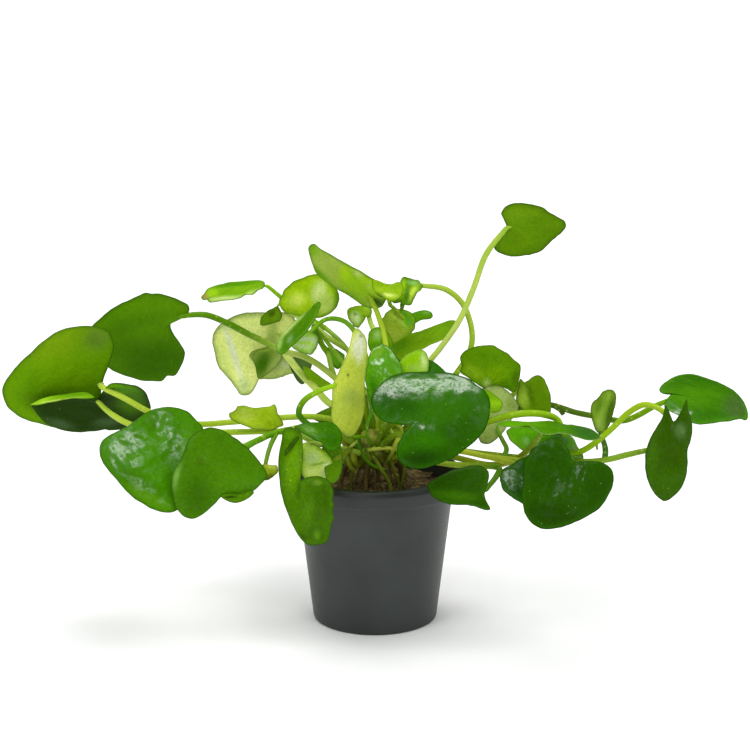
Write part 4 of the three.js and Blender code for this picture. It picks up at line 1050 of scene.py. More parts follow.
# Small folds and half-hidden blades. start and end are a pixel of the photo and a depth along Y.
plainFold = {
    **plainLeaf, "widths": (5, 5), "faces": (0, -0.85, 0.5), "veins": 0.02, "pucker": 0.08, "wave": 0.1,
    "frill": 0.08,
}
foldSeed = 71
folds = {
    "foldOfLeaf36": {
        "start": ((316, 420), 0), "end": ((334, 413), 0), "slot": "fresh", "top": "#557f06",
        "trace": ((312, 417), (319, 412), (325, 409), (332, 407), (336, 412), (336, 422), (325, 423), (316, 421)),
    },
    "fingerOfLeaf18": {
        "start": ((408, 320), 25), "end": ((433, 314), 23), "slot": "fresh", "top": "#5a9608", "cup": -25,
        "trace": ((406, 318), (411, 314), (418, 311), (425, 310), (431, 312), (433, 316), (430, 319), (422, 320),
          (416, 323), (410, 325)),
        "shines": ((424, 313, 6, 2, -8, 0.2),),
    },
    "foldOfLeaf39": {
        "start": ((268, 352), 49.5), "end": ((258, 377), 50.5), "slot": "olive", "thickness": 0.35,
        "top": "#84a040",
        "trace": ((252, 357), (256, 351), (265, 348), (275, 347), (283, 350), (282, 358), (276, 367), (268, 374),
          (260, 379), (257, 376), (255, 366)),
        "marks": ((262, 364, 8, 15, 24, "#3f6c02", 1.0), (266, 349, 16, 2.4, -8, "#8cac38", 0.8),
          (279, 362, 6, 16, 38, "#9cb05c", 0.95)),
    },
    "slitOfLeaf35": {
        "start": ((297, 438), -46.2), "end": ((286, 454), -46.2), "slot": "deep", "top": "#2c5204",
        "trace": ((298, 436), (299, 439), (294, 446), (288, 453), (285, 456), (285, 452), (290, 444), (294, 439)),
    },
    "backOfLeaf18": {
        "start": ((387, 346), 8), "end": ((371, 332), 9), "slot": "fresh", "top": "#66a008",
        "trace": ((369, 332), (373, 328.5), (378, 327), (385, 329), (391, 337), (393, 346), (389, 352),
          (379, 353), (371, 352), (368, 345), (368, 338)),
        "marks": ((377, 335, 4, 5, 0, "#9cc46c", 0.7), (377, 346, 10, 4, 0, "#4f8c00", 0.7)),
    },
    "foldOfLeaf14": {
        "start": ((330, 384), 27), "end": ((306, 371), 33), "slot": "lime", "top": "#86b414",
        "trace": ((303, 366), (309, 368), (316, 373), (324, 379), (332, 385), (325, 388), (315, 386), (308, 380),
          (304, 373)),
    },
    "backOfLeaf39": {
        "start": ((290, 358), 52), "end": ((305, 376), 50), "slot": "deep", "top": "#56743a",
        "trace": ((287, 352), (293, 351), (303, 355), (312, 360), (311, 369), (308, 378), (303, 384.5),
          (297, 381), (292, 372), (288, 362)),
    },
    "foldOfLeaf09": {
        "start": ((372, 286), 3.6), "end": ((402, 291), 2), "slot": "lime", "top": "#8fb414", "under": "#84aa14",
        "cup": 34, "thickness": 0.7,
        "trace": ((372, 281), (377, 280), (384, 283), (391, 284), (397, 282), (402, 283), (404, 290), (401, 297),
          (394, 301), (387, 300), (380, 297), (374, 291)),
        # the pale streak at 389, 295 is a painted highlight, and the dark mark at 380, 296 painted shadow under
        # the curl
        "marks": ((389, 295, 7, 2, 8, "#cfe070", 0.9), (378, 284, 6, 3, 10, "#78a00c", 0.7),
          (380, 296, 5, 3, 20, "#4a6c0c", 0.8), (396, 287, 5, 3, -20, "#7fae1c", 0.8)),
        "shines": ((388, 294, 7, 2, 8, 0.3),),
    },
    "rimOfLeaf03": {
        "start": ((34, 404), -6), "end": ((95, 396), -6), "slot": "lime", "top": "#74a80c", "under": "#6aa008",
        "cup": -14, "faces": (0, -0.7, 0.7),
        "trace": ((30, 405), (36, 401.5), (43, 398.5), (52, 396), (64, 394), (78, 392.5), (87, 392.5), (95, 397),
          (88, 398.5), (76, 398), (66, 399.5), (56, 401.5), (46, 403), (38, 405)),
        "marks": ((42, 400, 12, 3, -20, "#96c81c", 0.9), (58, 400.5, 24, 1.4, -8, "#b8d650", 0.8),
          (74, 394, 16, 2, -3, "#5c9408", 0.7)),
    },
    "curlOfLeaf05": {
        "start": ((224, 498), -51), "end": ((252, 493), -50), "slot": "deep", "top": "#4c7c02", "cup": -30,
        "trace": ((220, 496), (227, 494), (236, 494), (246, 493), (252, 491), (254, 493), (249, 498), (241, 502),
          (234, 503), (227, 501)),
        "marks": ((230, 497, 7, 1.4, -3, "#1f3800", 0.9),),
    },
    "backOfLeaf37": {
        "start": ((330, 478), -29), "end": ((333, 446), -28), "slot": "fresh", "top": "#5c8c0a",
        "trace": ((322, 448), (329, 444), (337, 444), (342, 450), (343, 462), (341, 474), (335, 483), (327, 481),
          (324, 466)),
    },
    "backOfLeaf21": {
        "start": ((428, 370), -15), "end": ((444, 371), -16), "slot": "deep", "top": "#2f6c08",
        "trace": ((424, 362), (430, 360), (436, 363), (442, 368), (447, 374), (445, 380), (434, 380), (425, 374)),
    },
    "strapOfLeaf15": {
        "start": ((314, 327), 30), "end": ((328, 352), 35), "slot": "lime", "top": "#7aa810",
        "trace": ((311, 327), (315, 324), (319, 330), (322, 338), (326, 346), (331, 351), (328, 356), (322, 350),
          (317, 341), (313, 334)),
    },
}

for number, (name, own) in enumerate(folds.items()):
    fold = {**plainFold, "under": own["top"], **own}
    fold["base"], fold["tip"] = [fromPhoto(*fold[key]) for key in ("start", "end")]
    piece = bladeMesh(name, fold, foldSeed + number)
    finished(piece, "leaf_" + fold["slot"])


print("stems")
# taper is the length over which a stalk narrows towards its leaf; sink, reach and ribRise set how it
# meets the blade's under side and flows into the midrib
stalk = {
    "radius": 0.95, "tip": 0.74, "sides": 14, "step": 1.1, "wobble": 0.12, "taper": 12, "sink": 0.55,
    "reach": 0.2, "ribStart": 0.5, "ribRise": 0.1, "ribEnd": 0.3, "firstSeed": 3.0,
}
# the way of each stalk from the crown, or from another stalk, to its leaf
stems = {
    "stem_01": {
        "leaf_01": [(-7, -1, 56), (-9.5, -2.5, 62.5), (-13, -3, 66.6), (-19, -3, 67.9), (-30, -2, 67.4),
                    (-45, 0, 65.5), (-57, -3, 65.5), (-66, -7, 68.2), (-72.5, -11, 72.3), (-79, -12, 76.5),
                    (-86, -8.4, 79)],
        "leaf_03": [(-12, -3, 61), (-18, -8, 63.5), (-30, -11, 65.3), (-52, -13, 65.5), (-67, -14, 66),
                    (-74, -14, 67.4), (-79, -13, 69), (-84, -10, 71.2)],
    },
    "stem_02": {
        "leaf_05": [(-5, -4, 58), (-14, -12, 66), (-26.5, -22, 69), (-34.5, -34, 69.5), (-40, -43, 68),
                    (-44, -46, 61)],
        "leaf_04": [(-34.5, -34, 69.5), (-42, -35, 66.5), (-52, -36, 64)],
        "leaf_06": [(-14, -12, 66), (-21, -14, 66.5)],
        "leaf_16": [(-14, -12, 66), (-18.6, -21, 69), (-23.6, -25, 74.8), (-22, -26, 79.2),
                    (-17.4, -26, 82.3)],
        "leaf_41": [(-30.5, -28, 69.3), (-31.8, -33, 67.5), (-32.8, -37.5, 65)],
    },
    "stem_03": {
        "leaf_02": [(-4, 4, 59), (-6.5, 12, 69), (-13.5, 25, 74), (-23.5, 35, 78.5), (-31, 40, 79.4),
                    (-36.5, 41, 81.9), (-42, 38.5, 85.2), (-49, 34, 90.2), (-56, 31, 93.8),
                    (-61, 29.8, 94.2)],
        "leaf_15": [(-13.5, 25, 74), (-15, 32, 77)],
        "leaf_11": [(-5, 8, 65), (-14.7, 15, 67.5), (-19.9, 26, 70), (-24.6, 36, 72), (-29, 45, 75),
                    (-31.6, 49, 77.5)],
        "leaf_39": [(-24.6, 36, 72), (-28, 46, 74)],
    },
    "stem_04": {
        "leaf_07": [(-1, 4, 60), (-4.5, 20, 74), (-9.5, 32, 82), (-17, 42, 87), (-24, 46, 90.5),
                    (-31, 48, 95.5)],
        "leaf_08": [(-9.5, 32, 82), (-17, 36, 86)],
        "leaf_12": [(-17, 42, 87), (-25, 48, 89), (-30, 51, 91)],
    },
    "stem_05": {
        "leaf_09": [(1, 1, 60), (1, 1, 65), (4, 4, 78), (3.5, 7, 89), (2.5, 10, 93.5), (1, 12, 98)],
        "leaf_17": [(3.5, 6, 84), (1.5, 18, 88), (-1.5, 28, 92)],
        "leaf_13": [(1, 1, 65), (-2, 2, 77), (-3, 6, 86), (-6, 10, 92), (-10, 14, 95.5), (-16, 17, 95.5)],
        "leaf_14": [(-2, 1.5, 74), (-7, 12, 78), (-13, 24, 82.5)],
    },
    "stem_06": {
        "leaf_10": [(5.5, 3.5, 58), (17.5, 5, 70), (26, 8, 79), (31, 12, 86.5), (31.5, 14, 92.5),
                    (28.5, 15, 101), (23, 14, 106)],
    },
    "stem_07": {
        "leaf_38": [(4, 0, 60), (12, 0, 76), (17.5, 0, 85.5), (21, 2, 89.5), (27, 4, 98), (31.5, 6, 108),
                    (35.5, 7, 119)],
    },
    "stem_08": {
        "leaf_22": [(1, -5, 58), (6, -18, 66), (11, -40, 72)],
        "leaf_20": [(1, -5, 58), (2, -12, 66), (2, -17, 72)],
        "leaf_21": [(1.5, -6, 60), (6, -10, 70), (9, -13, 78)],
    },
    "stem_09": {
        "leaf_18": [(2.5, 5, 58), (7, 14, 76), (9, 27, 89)],
        "leaf_19": [(6.5, 12.5, 74), (6, 13, 80)],
    },
    "stem_10": {
        "leaf_23": [(6.5, 0, 59), (22, 0, 65), (33, 0, 72)],
        "leaf_24": [(22, 0, 65), (36, 2, 69), (44, 3, 73)],
        "leaf_26": [(14, 0, 62), (24, -5, 66), (33, -12, 69)],
    },
    "stem_11": {
        "leaf_33": [(7, 2.5, 56), (24, 4, 60), (40, 6, 65), (50, 8, 69), (57, 8, 69), (65, 6, 67),
                    (72.5, 4, 66), (79.5, -6, 67.5), (84, -8, 70), (88.5, -9, 73)],
    },
    "stem_12": {
        "leaf_34": [(8, -1, 55), (25, -4, 57), (36, -10, 57.5), (49, -14, 57.5), (64, -18, 60.5),
                    (69, -18, 63.5), (74, -18, 68), (79.5, -18, 73.5), (84, -20, 76.5), (88.5, -22, 75.5)],
        "leaf_40": [(57, -16, 58.5), (65, -20, 58), (72, -20, 58.5), (80, -20, 60.5)],
        "leaf_32": [(72, -20, 58.5), (72.8, -14, 60.5)],
    },
    "stem_13": {
        "leaf_28": [(6, -3.5, 56), (10.5, -4.5, 57.5), (27, -10, 66), (36.5, -14, 69.6), (41, -14, 71),
                    (47, -15, 72.3), (53, -15, 72), (58, -12, 69)],
        "leaf_27": [(10.5, -4.5, 57.5), (25, -8, 56), (36, -15, 55.5), (43, -22, 58.8), (48, -26, 64),
                    (50, -29.5, 67.8)],
        "leaf_25": [(39.5, -16, 57), (41.5, -15, 60), (40.5, -9, 62)],
    },
    "stem_14": {
        "leaf_29": [(5, -5, 55), (9.5, -8, 56), (25, -14.5, 60), (36, -20, 59.5), (48, -29, 60.5),
                    (56, -40, 62)],
        "leaf_30": [(36, -20, 59.5), (46, -29, 59)],
        "leaf_31": [(9.5, -8, 56), (23.5, -16, 56), (32.5, -23, 57.5), (38, -30, 59), (37, -39, 59)],
    },
    "stem_15": {
        "leaf_35": [(-3, -5, 56), (-12, -18, 62), (-18, -28, 66), (-23, -36, 67), (-25.5, -42, 64.5)],
        "leaf_36": [(-12, -18, 62), (-20, -27, 67), (-24, -32, 71)],
        "leaf_37": [(-8, -12, 59.5), (-9, -22, 61.5)],
    },
}


def stemFinish():
    finish = Finish("stemSkin", IOR=1.4, Coat_Roughness=0.2)
    finish.shader.inputs["Specular IOR Level"].default_value = 0.15
    finish.shader.inputs["Specular Tint"].default_value = (0.9, 1.0, 0.5, 1)
    tone = finish.attribute("tone", 0)
    cloud = finish.shade(0.36, 0.68, finish.noise(9, 2))
    mossy = finish.mix(cloud * 0.45, tone, (0.66, 0.84, 0.4), "MULTIPLY")
    paleDots = finish.shade(0.26, 0.12, finish.cells(1.9, "F1"))
    finish.feed("Base Color", finish.mix(paleDots * 0.32, mossy, "#cfe07c"))
    finish.feed("Roughness", 0.36 + 0.2 * finish.noise(1.2))
    finish.feed("Coat Weight", 0.09 * finish.shade(0.35, 0.65, finish.noise(5)))
    streaks = finish.bump(finish.noise(0.5, 2), 0.06, 0.7)
    finish.feed("Normal", finish.bump(paleDots, 0.06, 0.6, streaks))
    return finish.material


stemMaterial = stemFinish()


def catmullRom(points, step):
    # a centripetal curve through the points, as the solids' stalks follow
    points = [np.array(p, float) for p in points]
    points = [2 * points[0] - points[1]] + points + [2 * points[-1] - points[-2]]
    out = []
    for p0, p1, p2, p3 in zip(points, points[1:], points[2:], points[3:]):
        t1 = max(np.linalg.norm(p1 - p0), 1e-6) ** 0.5
        t2 = t1 + max(np.linalg.norm(p2 - p1), 1e-6) ** 0.5
        t3 = t2 + max(np.linalg.norm(p3 - p2), 1e-6) ** 0.5
        for t in np.linspace(t1, t2, max(2, int(np.linalg.norm(p2 - p1) / step)), endpoint=False):
            a1 = (t1 - t) / t1 * p0 + t / t1 * p1
            a2 = (t2 - t) / (t2 - t1) * p1 + (t - t1) / (t2 - t1) * p2
            a3 = (t3 - t) / (t3 - t2) * p2 + (t - t2) / (t3 - t2) * p3
            b1 = (t2 - t) / t2 * a1 + t / t2 * a2
            b2 = (t3 - t) / (t3 - t1) * a2 + (t - t1) / (t3 - t1) * a3
            out.append((t2 - t) / (t2 - t1) * b1 + (t - t1) / (t2 - t1) * b2)
    out.append(points[-2])
    return out


def newTree(name, inputs):
    # a geometry tree with named inputs: label, kind and value
    tree = bpy.data.node_groups.new(name, "GeometryNodeTree")
    tree.interface.new_socket("Geometry", in_out="INPUT", socket_type="NodeSocketGeometry")
    for label, kind, value in inputs:
        socket = tree.interface.new_socket(label, in_out="INPUT", socket_type="NodeSocket" + kind)
        if kind != "Material":
            socket.default_value = value
    tree.interface.new_socket("Geometry", in_out="OUTPUT", socket_type="NodeSocketGeometry")
    return tree


class TreeMaker:
    # adds nodes to a geometry tree and links what it is given; kind is short for "GeometryNode" + kind
    def __init__(self, tree):
        self.tree = tree
        self.inputs = tree.nodes.new("NodeGroupInput").outputs

    def node(self, kind, settings=None, links=None):
        node = self.tree.nodes.new(kind if kind.startswith(("Shader", "Function")) else "GeometryNode" + kind)
        for key, value in (settings or {}).items():
            setattr(node, key, value)
        for key, value in (links or {}).items():
            socket = node.inputs[key]
            if isinstance(value, bpy.types.NodeSocket):
                self.tree.links.new(value, socket)
            else:
                socket.default_value = value
        return node

    def centred(self, colour, size):
        # noise from 0 to 1 becomes an offset to all sides
        middle = self.node("ShaderNodeVectorMath", {"operation": "SUBTRACT"}, {0: colour, 1: (0.5, 0.5, 0.5)})
        sized = self.node("ShaderNodeVectorMath", {"operation": "SCALE"}, {0: middle.outputs[0], "Scale": size})
        return sized.outputs[0]

    def finish(self, geometry, material):
        real = self.node("RealizeInstances", None, {0: geometry})
        dressed = self.node("SetMaterial", None,
                            {"Geometry": real.outputs[0], "Material": material})
        out = self.tree.nodes.new("NodeGroupOutput")
        self.tree.links.new(dressed.outputs[0], out.inputs[0])
        return self.tree


def tubeTree():
    # a closed tube along each path of a curve, as thick as the path's radius, with a slightly uneven skin
    tree = newTree("tubeAlongPath", [
        ("Sides", "Int", 14), ("Step", "Float", 0.001), ("Wobble", "Float", 0.00006), ("Seed", "Float", 1.0),
        ("Material", "Material", None),
    ])
    make = TreeMaker(tree)
    given = make.inputs
    path = make.node("ResampleCurve", {"mode": "LENGTH"},
                     {"Curve": given["Geometry"], "Length": given["Step"]})
    factor = make.node("SplineParameter")
    stored = make.node("StoreNamedAttribute", {"data_type": "FLOAT", "domain": "POINT"},
                       {"Geometry": path.outputs[0], "Name": "along", "Value": factor.outputs[0]})
    ring = make.node("CurvePrimitiveCircle", None, {"Resolution": given["Sides"], "Radius": 1.0})
    radius = make.node("InputRadius")
    tube = make.node("CurveToMesh", None, {
        "Curve": stored.outputs[0], "Profile Curve": ring.outputs[0], "Fill Caps": True,
    })
    if "Scale" in tube.inputs:  # where Blender doesn't take the radius by itself
        tree.links.new(radius.outputs[0], tube.inputs["Scale"])
    noise = make.node("ShaderNodeTexNoise", {"noise_dimensions": "4D"}, {"W": given["Seed"], "Scale": 350.0})
    offset = make.centred(noise.outputs["Color"], given["Wobble"])
    moved = make.node("SetPosition", None, {"Geometry": tube.outputs[0], "Offset": offset})
    smooth = make.node("SetShadeSmooth", None, {"Geometry": moved.outputs[0]})
    return make.finish(smooth.outputs[0], given["Material"])


def runTree(piece, tree, values):
    # values go in by the sockets' identifiers; the result is a plain mesh
    modifier = piece.modifiers.new("build", "NODES")
    modifier.node_group = tree
    sockets = {item.name: item.identifier for item in tree.interface.items_tree if item.in_out == "INPUT"}
    for label, value in values.items():
        modifier[sockets[label]] = value
    bpy.context.view_layer.update()
    evaluated = piece.evaluated_get(bpy.context.evaluated_depsgraph_get())
    mesh = bpy.data.meshes.new_from_object(evaluated)
    name = piece.name
    bpy.data.objects.remove(piece)
    made = bpy.data.objects.new(name, mesh)
    scene.collection.objects.link(made)
    return made


def pathObject(name, paths):
    # one curve object of many open paths; each is (points, radii) in millimetres
    curve = bpy.data.curves.new(name, "CURVE")
    curve.dimensions = "3D"
    for points, radii in paths:
        spline = curve.splines.new("POLY")
        spline.points.add(len(points) - 1)
        for place, point, radius in zip(spline.points, points, radii):
            place.co = (*(np.array(point) * mm), 1)
            place.radius = radius * mm
    piece = bpy.data.objects.new(name, curve)
    scene.collection.objects.link(piece)
    return piece


tubes = tubeTree()


def tubePiece(name, paths, sides, step, wobble, seed, material):
    # step and wobble in millimetres
    return runTree(pathObject(name, paths), tubes, {
        "Sides": sides, "Step": step * mm, "Wobble": wobble * mm, "Seed": seed, "Material": material,
    })


def stalkPath(route, leaf, width):
    # the points of a stalk and its radius at each
    base, along, _, up, _ = frameOf(leaf)
    if leaf["joint"]:
        base, along = np.array(leaf["joint"], float), unit(np.array(leaf["joint"]) - np.array(route[-1]))
    end = base - up * stalk["sink"] * stalk["radius"] + along * stalk["reach"]
    points = catmullRom([*route, end], stalk["step"])
    # the stalk narrows over its last few millimetres and flows into the midrib
    ribSteps = np.linspace(stalk["ribStart"], leaf["rib"], 3)
    points += [end + up * stalk["ribRise"] * d + along * d for d in ribSteps]
    travelled = np.concatenate([[0], np.cumsum(np.linalg.norm(np.diff(points, axis=0), axis=1))])
    left = travelled[-1] - travelled
    radii = stalk["tip"] + (stalk["radius"] - stalk["tip"]) * np.clip(left / stalk["taper"], 0, 1)
    narrowed = radii * (stalk["ribEnd"] + (1 - stalk["ribEnd"]) * left / leaf["rib"])
    return points, np.where(left < leaf["rib"], narrowed, radii) * width


# how much thicker or thinner than the rest some stalks are
stalkWidths = {
    "leaf_02": 1.12, "leaf_07": 0.85, "leaf_11": 1.25, "leaf_13": 0.85, "leaf_14": 0.8, "leaf_25": 0.85,
    "leaf_28": 1.15, "leaf_41": 0.8,
}
# colours of a stalk at its root, along its way and under the leaf
plainStalk = ("#86a428", "#b4cc5c", "#a6c440")
stalkColours = {
    "leaf_01": ("#86a42c", "#9cb82c", "#a4bc34", "#9cb428", "#a9c030", "#b0c644", "#bccf60"),
    "leaf_02": ("#8faa3c", "#a0b448", "#a9bc50", "#a9bc50", "#b4c460", "#84a430", "#558404", "#558404",
        "#5c8c04"),
    "leaf_03": ("#8fae34", "#9cb82c", "#a4bc30", "#b0c848"),
    "leaf_05": ("#8fae34", "#9cb82c", "#7fa820", "#5c9410", "#5c9014", "#6f9c24"),
    "leaf_06": ("#9cbc34", "#a9c63c"),
    "leaf_07": ("#8fae34", "#8fa844", "#7f9c3c", "#86b41c", "#86b810"),
    "leaf_09": ("#6f8c0c", "#a4bc34", "#a9c030", "#8fb01c"),
    "leaf_10": ("#6a8408", "#86a81c", "#9cb834", "#a4bc48"),
    "leaf_11": ("#8fae34", "#b4c854", "#c8d870", "#c0d068"),
    "leaf_13": ("#8fae34", "#9cb838", "#6f9c14", "#5c9410", "#7fb01c"),
    "leaf_14": ("#8fae34", "#7a9c24", "#6f9c1c"),
    "leaf_16": ("#86a428", "#4f8008", "#447c04", "#84b010", "#98c414"),
    "leaf_18": ("#5c7808", "#6f9010", "#86a428"),
    "leaf_19": ("#5c7808", "#6f9010"),
    "leaf_20": ("#5c7808", "#6f9010", "#5c8408"),
    "leaf_21": ("#5c7808", "#6f9010", "#7a9c18"),
    "leaf_22": ("#5c7c10", "#6f9010", "#3f6c08"),
    "leaf_25": ("#5f8c1c", "#6a9420"),
    "leaf_27": ("#5c6c10", "#6f8010", "#7a8c18", "#7a8c18", "#86a020"),
    "leaf_28": ("#6f8c14", "#6f8410", "#86b00c", "#86b408"),
    "leaf_29": ("#5c6f10", "#a9b430", "#9cac28", "#6f8c14"),
    "leaf_30": ("#a9b430", "#6f8c14"),
    "leaf_31": ("#7a9420", "#86a02c", "#4f7a10", "#3f6a0c"),
    "leaf_32": ("#3f6c14", "#3f6c14", "#4f7c18"),
    "leaf_33": ("#6a8414", "#57740c", "#48660c", "#48660c", "#6a9400", "#78a404"),
    "leaf_34": ("#4f6c04", "#5c780c", "#7f980c", "#80aa04", "#94b214", "#a4bc30"),
    "leaf_37": ("#6f7c18", "#6a8010"),
    "leaf_38": ("#6a840c", "#8ca634", "#b4c660", "#a9c04c", "#84a828"),
    "leaf_39": ("#8fae34", "#9cb44c", "#a4b85c"),
    "leaf_40": ("#5c7c10", "#7a9c24", "#6f9020"),
    "leaf_41": ("#5c8c14", "#6f8c20"),
}


def paintStalks(piece, paths, colourRows):
    # each point of the tubes takes the colour of the nearest place on the stalks' own lines
    tree = mathutils.kdtree.KDTree(sum(len(points) for points, _ in paths))
    tones = []
    for (points, _), row in zip(paths, colourRows):
        colours = np.array([linear(c) for c in row])
        for k, point in enumerate(points):
            tree.insert(np.array(point) * mm, len(tones))
            t = k / (len(points) - 1)
            tones.append([np.interp(t, np.linspace(0, 1, len(colours)), colours[:, c]) for c in range(3)])
    tree.balance()
    nearest = [tree.find(vertex.co)[1] for vertex in piece.data.vertices]
    setAttribute(piece, "tone", np.array(tones)[nearest])


for number, (name, routes) in enumerate(stems.items()):
    paths = [stalkPath(route, {**plainLeaf, **leaves[leaf]}, stalkWidths.get(leaf, 1))
             for leaf, route in routes.items()]
    piece = tubePiece(name.replace("stem", "stalks"), paths, stalk["sides"], stalk["step"], stalk["wobble"],
                      stalk["firstSeed"] + number, stemMaterial)
    paintStalks(piece, paths, [stalkColours.get(leaf, plainStalk) for leaf in routes])
    finished(piece, "stem", name)


print("crown and roots")
crown = {
    "centre": (0, 0, 56.6), "size": (9.4, 6.4, 7.2), "lumps": 26, "lumpDepth": 0.16, "lumpWidth": 0.05,
    # legs stand on the plug: where they leave the lump and how far they step out
    "legs": ((-6, 0, -5, -1), (-2, -3, -1, -3), (2, -3, 3, -2), (6, 0, 3, 1), (0, 4, 1, 3)),
    "legRadius": 1.05,
    "stubs": 44, "stubRadius": 0.8, "stubLengths": (1.6, 3.2), "stubHeights": (-0.3, 0.9),
    "colours": ("#66800a", "#94a81c", "#4c7804", "#7c9c0a", "#5c600a", "#748e0c", "#446804"),
    "shoots": 19, "shootRadius": 0.95, "shootTop": 73, "shootTops": (-5, 4), "shootDepths": (1, 7),
    "shootLeft": -9.5, "shootSpan": 21.5,
    # the shoots' greens are darkened, partly as painted shade of the hollow they stand in
    "shootColours": ("#5c7c04", "#7c9c0a", "#4c6c04", "#8ca81c", "#648208"),
    "threads": 34, "threadRadius": 0.14, "threadSpread": (2, 12), "threadCreep": (1, 5),
    # tubes: sides, step and wobble in millimetres, seed
    "tubes": {
        "oldStalkBases": (10, 0.35, 0.25, 40.0), "youngShoots": (10, 0.6, 0.25, 43.0),
        "stalkBases": (12, 0.4, 0.25, 45.0), "crownLegs": (12, 0.6, 0.5, 50.0),
        "rootThreads": (6, 0.5, 0.4, 60.0),
    },
    # bent stalk bases seen from the front: colours, radius, then points
    "arcs": (
        (("#6a9a0a", "#6a9a0a"), 0.6, (-10, -8, 62.7), (-6.5, -8.4, 62.9), (-3, -7, 62.4)),
        (("#9aa840", "#a4b44c"), 0.7, (-9.6, -3, 52.6), (-9.2, -6.5, 56.5), (-7.3, -8, 59.8), (-5, -6, 61)),
        (("#3f6f0c", "#4f7a14"), 0.75, (-5.4, -6, 62.4), (-4.7, -8, 58.5), (-2.8, -8.6, 55.2), (0.3, -8, 52.6),
         (3.2, -5, 51)),
        (("#b4bc4c", "#a9b040"), 0.7, (-3.6, -5.5, 57.3), (0, -8.6, 58.8), (4.1, -8.4, 59.1), (7.5, -4.5, 57.2)),
        (("#4f8a10", "#6a9a20"), 0.7, (-1.9, -10, 79), (-1.4, -9.4, 75), (-1, -9, 72), (-2.4, -9.5, 67.2),
         (-2.5, -8.4, 63), (-1, -5.5, 59)),
        (("#9cb840", "#86a030"), 0.7, (3.2, -7, 67.2), (4.7, -7.4, 65), (5.7, -6, 62.4), (5.4, -3, 58.5)),
        (("#a8b838", "#6f8420"), 0.75, (8.2, -5.5, 62.6), (6.6, -7.4, 60.4), (5.2, -6.8, 56.5), (3.6, -4, 53)),
        (("#8a9420", "#7c8c1c"), 1.0, (-8.6, -5, 55.6), (-8, -6.4, 52.6), (-6.4, -5.6, 50.4)),
        (("#5c6c14", "#6b7a20"), 0.8, (-1.6, -5.5, 57.5), (1.9, -8, 52), (4.4, -7, 47.4), (5.4, -6.6, 43.8)),
        (("#5a5c10", "#4f4c14"), 0.75, (4.7, -4.5, 55.2), (6.3, -6.6, 51), (7.8, -6.4, 46.6), (8.4, -6.2, 43.8)),
        (("#5f6a14", "#4f5a10"), 0.7, (8.4, -1, 55.2), (9.5, -3.4, 50), (8.4, -5, 46), (7.4, -5.4, 43.8)),
        (("#6f7a1c", "#4a4410"), 0.7, (-5.6, -4, 54), (-7.4, -5.6, 50), (-7.6, -5.8, 46), (-8.2, -6, 43.8)),
        (("#8a8a1c", "#74700f"), 1.4, (-10.4, -5, 61.6), (-9.3, -5.6, 59.8), (-8, -5, 57)),
        (("#8c9a1c", "#6f7410"), 1.2, (-6.8, -6.2, 57), (-6.6, -7, 54.6), (-5.4, -5.8, 52.4)),
        (("#8a9c28", "#6f8a1c"), 0.8, (5.8, -3, 66.4), (8.4, -4.4, 64), (7.6, -4.6, 60.4)),
        # a stalk end and a link that hang from the leaves above leaf_18
        (("#7fae10", "#93aa2c"), 0.75, (4.6, 14, 102.6), (4.9, 18, 100.2), (6.4, 23.6, 97.6), (9.6, 24.2, 94)),
        (("#4f7c0c", "#4a8408"), 0.8, (8.8, 12, 101.4), (8.9, 18, 99.6), (8.8, 24.4, 97.4)),
        # a knob and a short stub on two of the long stalks
        (("#4a6a12", "#3f5c10"), 0.95, (58.2, 8, 68.8), (60.2, 7.6, 67.4), (61.3, 7.4, 65.9)),
        (("#8aa420", "#5c7c14"), 0.45, (69.5, -18, 64), (69.6, -18, 62.6), (69.8, -18.2, 61.4)),
    ),
}


def crownFinish():
    finish = Finish("crownSkin", Roughness=0.5, IOR=1.4)
    patches = finish.noise(3.2, 4, 0.6)
    tone = finish.ramp(patches, (0.3, "#3a3808"), (0.45, "#626a08"), (0.58, "#828c10"),
                       (0.75, "#949c20"))
    streak = finish.shade(0.55, 0.8, finish.noise(0.8, 3))
    finish.feed("Base Color", finish.mix(streak * 0.5, tone, "#4a3a14"))
    finish.feed("Roughness", 0.38 + 0.3 * finish.noise(1.4))
    rough = finish.bump(finish.noise(0.7, 3), 0.2, 0.8)
    finish.feed("Normal", finish.bump(finish.noise(2.0, 2), 0.4, 0.8, rough))
    return finish.material


def rootFinish():
    finish = Finish("rootSkin", Roughness=0.6, IOR=1.4)
    tone = finish.ramp(finish.attribute("along"), (0.0, "#6b6a20"), (0.5, "#5a4a18"), (1.0, "#8a7440"))
    blotch = finish.shade(0.4, 0.7, finish.noise(1.6, 3))
    finish.feed("Base Color", finish.mix(blotch * 0.6, tone, "#3a2f10"))
    finish.feed("Roughness", 0.5 + 0.25 * finish.noise(1.0))
    finish.feed("Normal", finish.bump(finish.noise(0.5, 3), 0.12, 0.8))
    return finish.material


crownMaterial = crownFinish()
rootMaterial = rootFinish()
crownCentre = np.array(crown["centre"], float)
crownSize = np.array(crown["size"], float)


def crownBody():
    # an egg with rounded lumps all over
    ball = bmesh.new()
    bmesh.ops.create_icosphere(ball, subdivisions=5, radius=1)
    places = np.array([v.co[:] for v in ball.verts])
    faces = [[v.index for v in face.verts] for face in ball.faces]
    ball.free()
    random = np.random.default_rng(5)
    lumps = random.normal(size=(crown["lumps"], 3))
    lumps /= np.linalg.norm(lumps, axis=1)[:, None]
    closeness = places @ lumps.T
    swell = np.exp(-((1 - closeness) / crown["lumpWidth"]) ** 1.2).max(axis=1)
    size = 1 - crown["lumpDepth"] + crown["lumpDepth"] * swell
    return addMesh("crownLump", crownCentre + places * size[:, None] * crownSize, faces, crownMaterial)


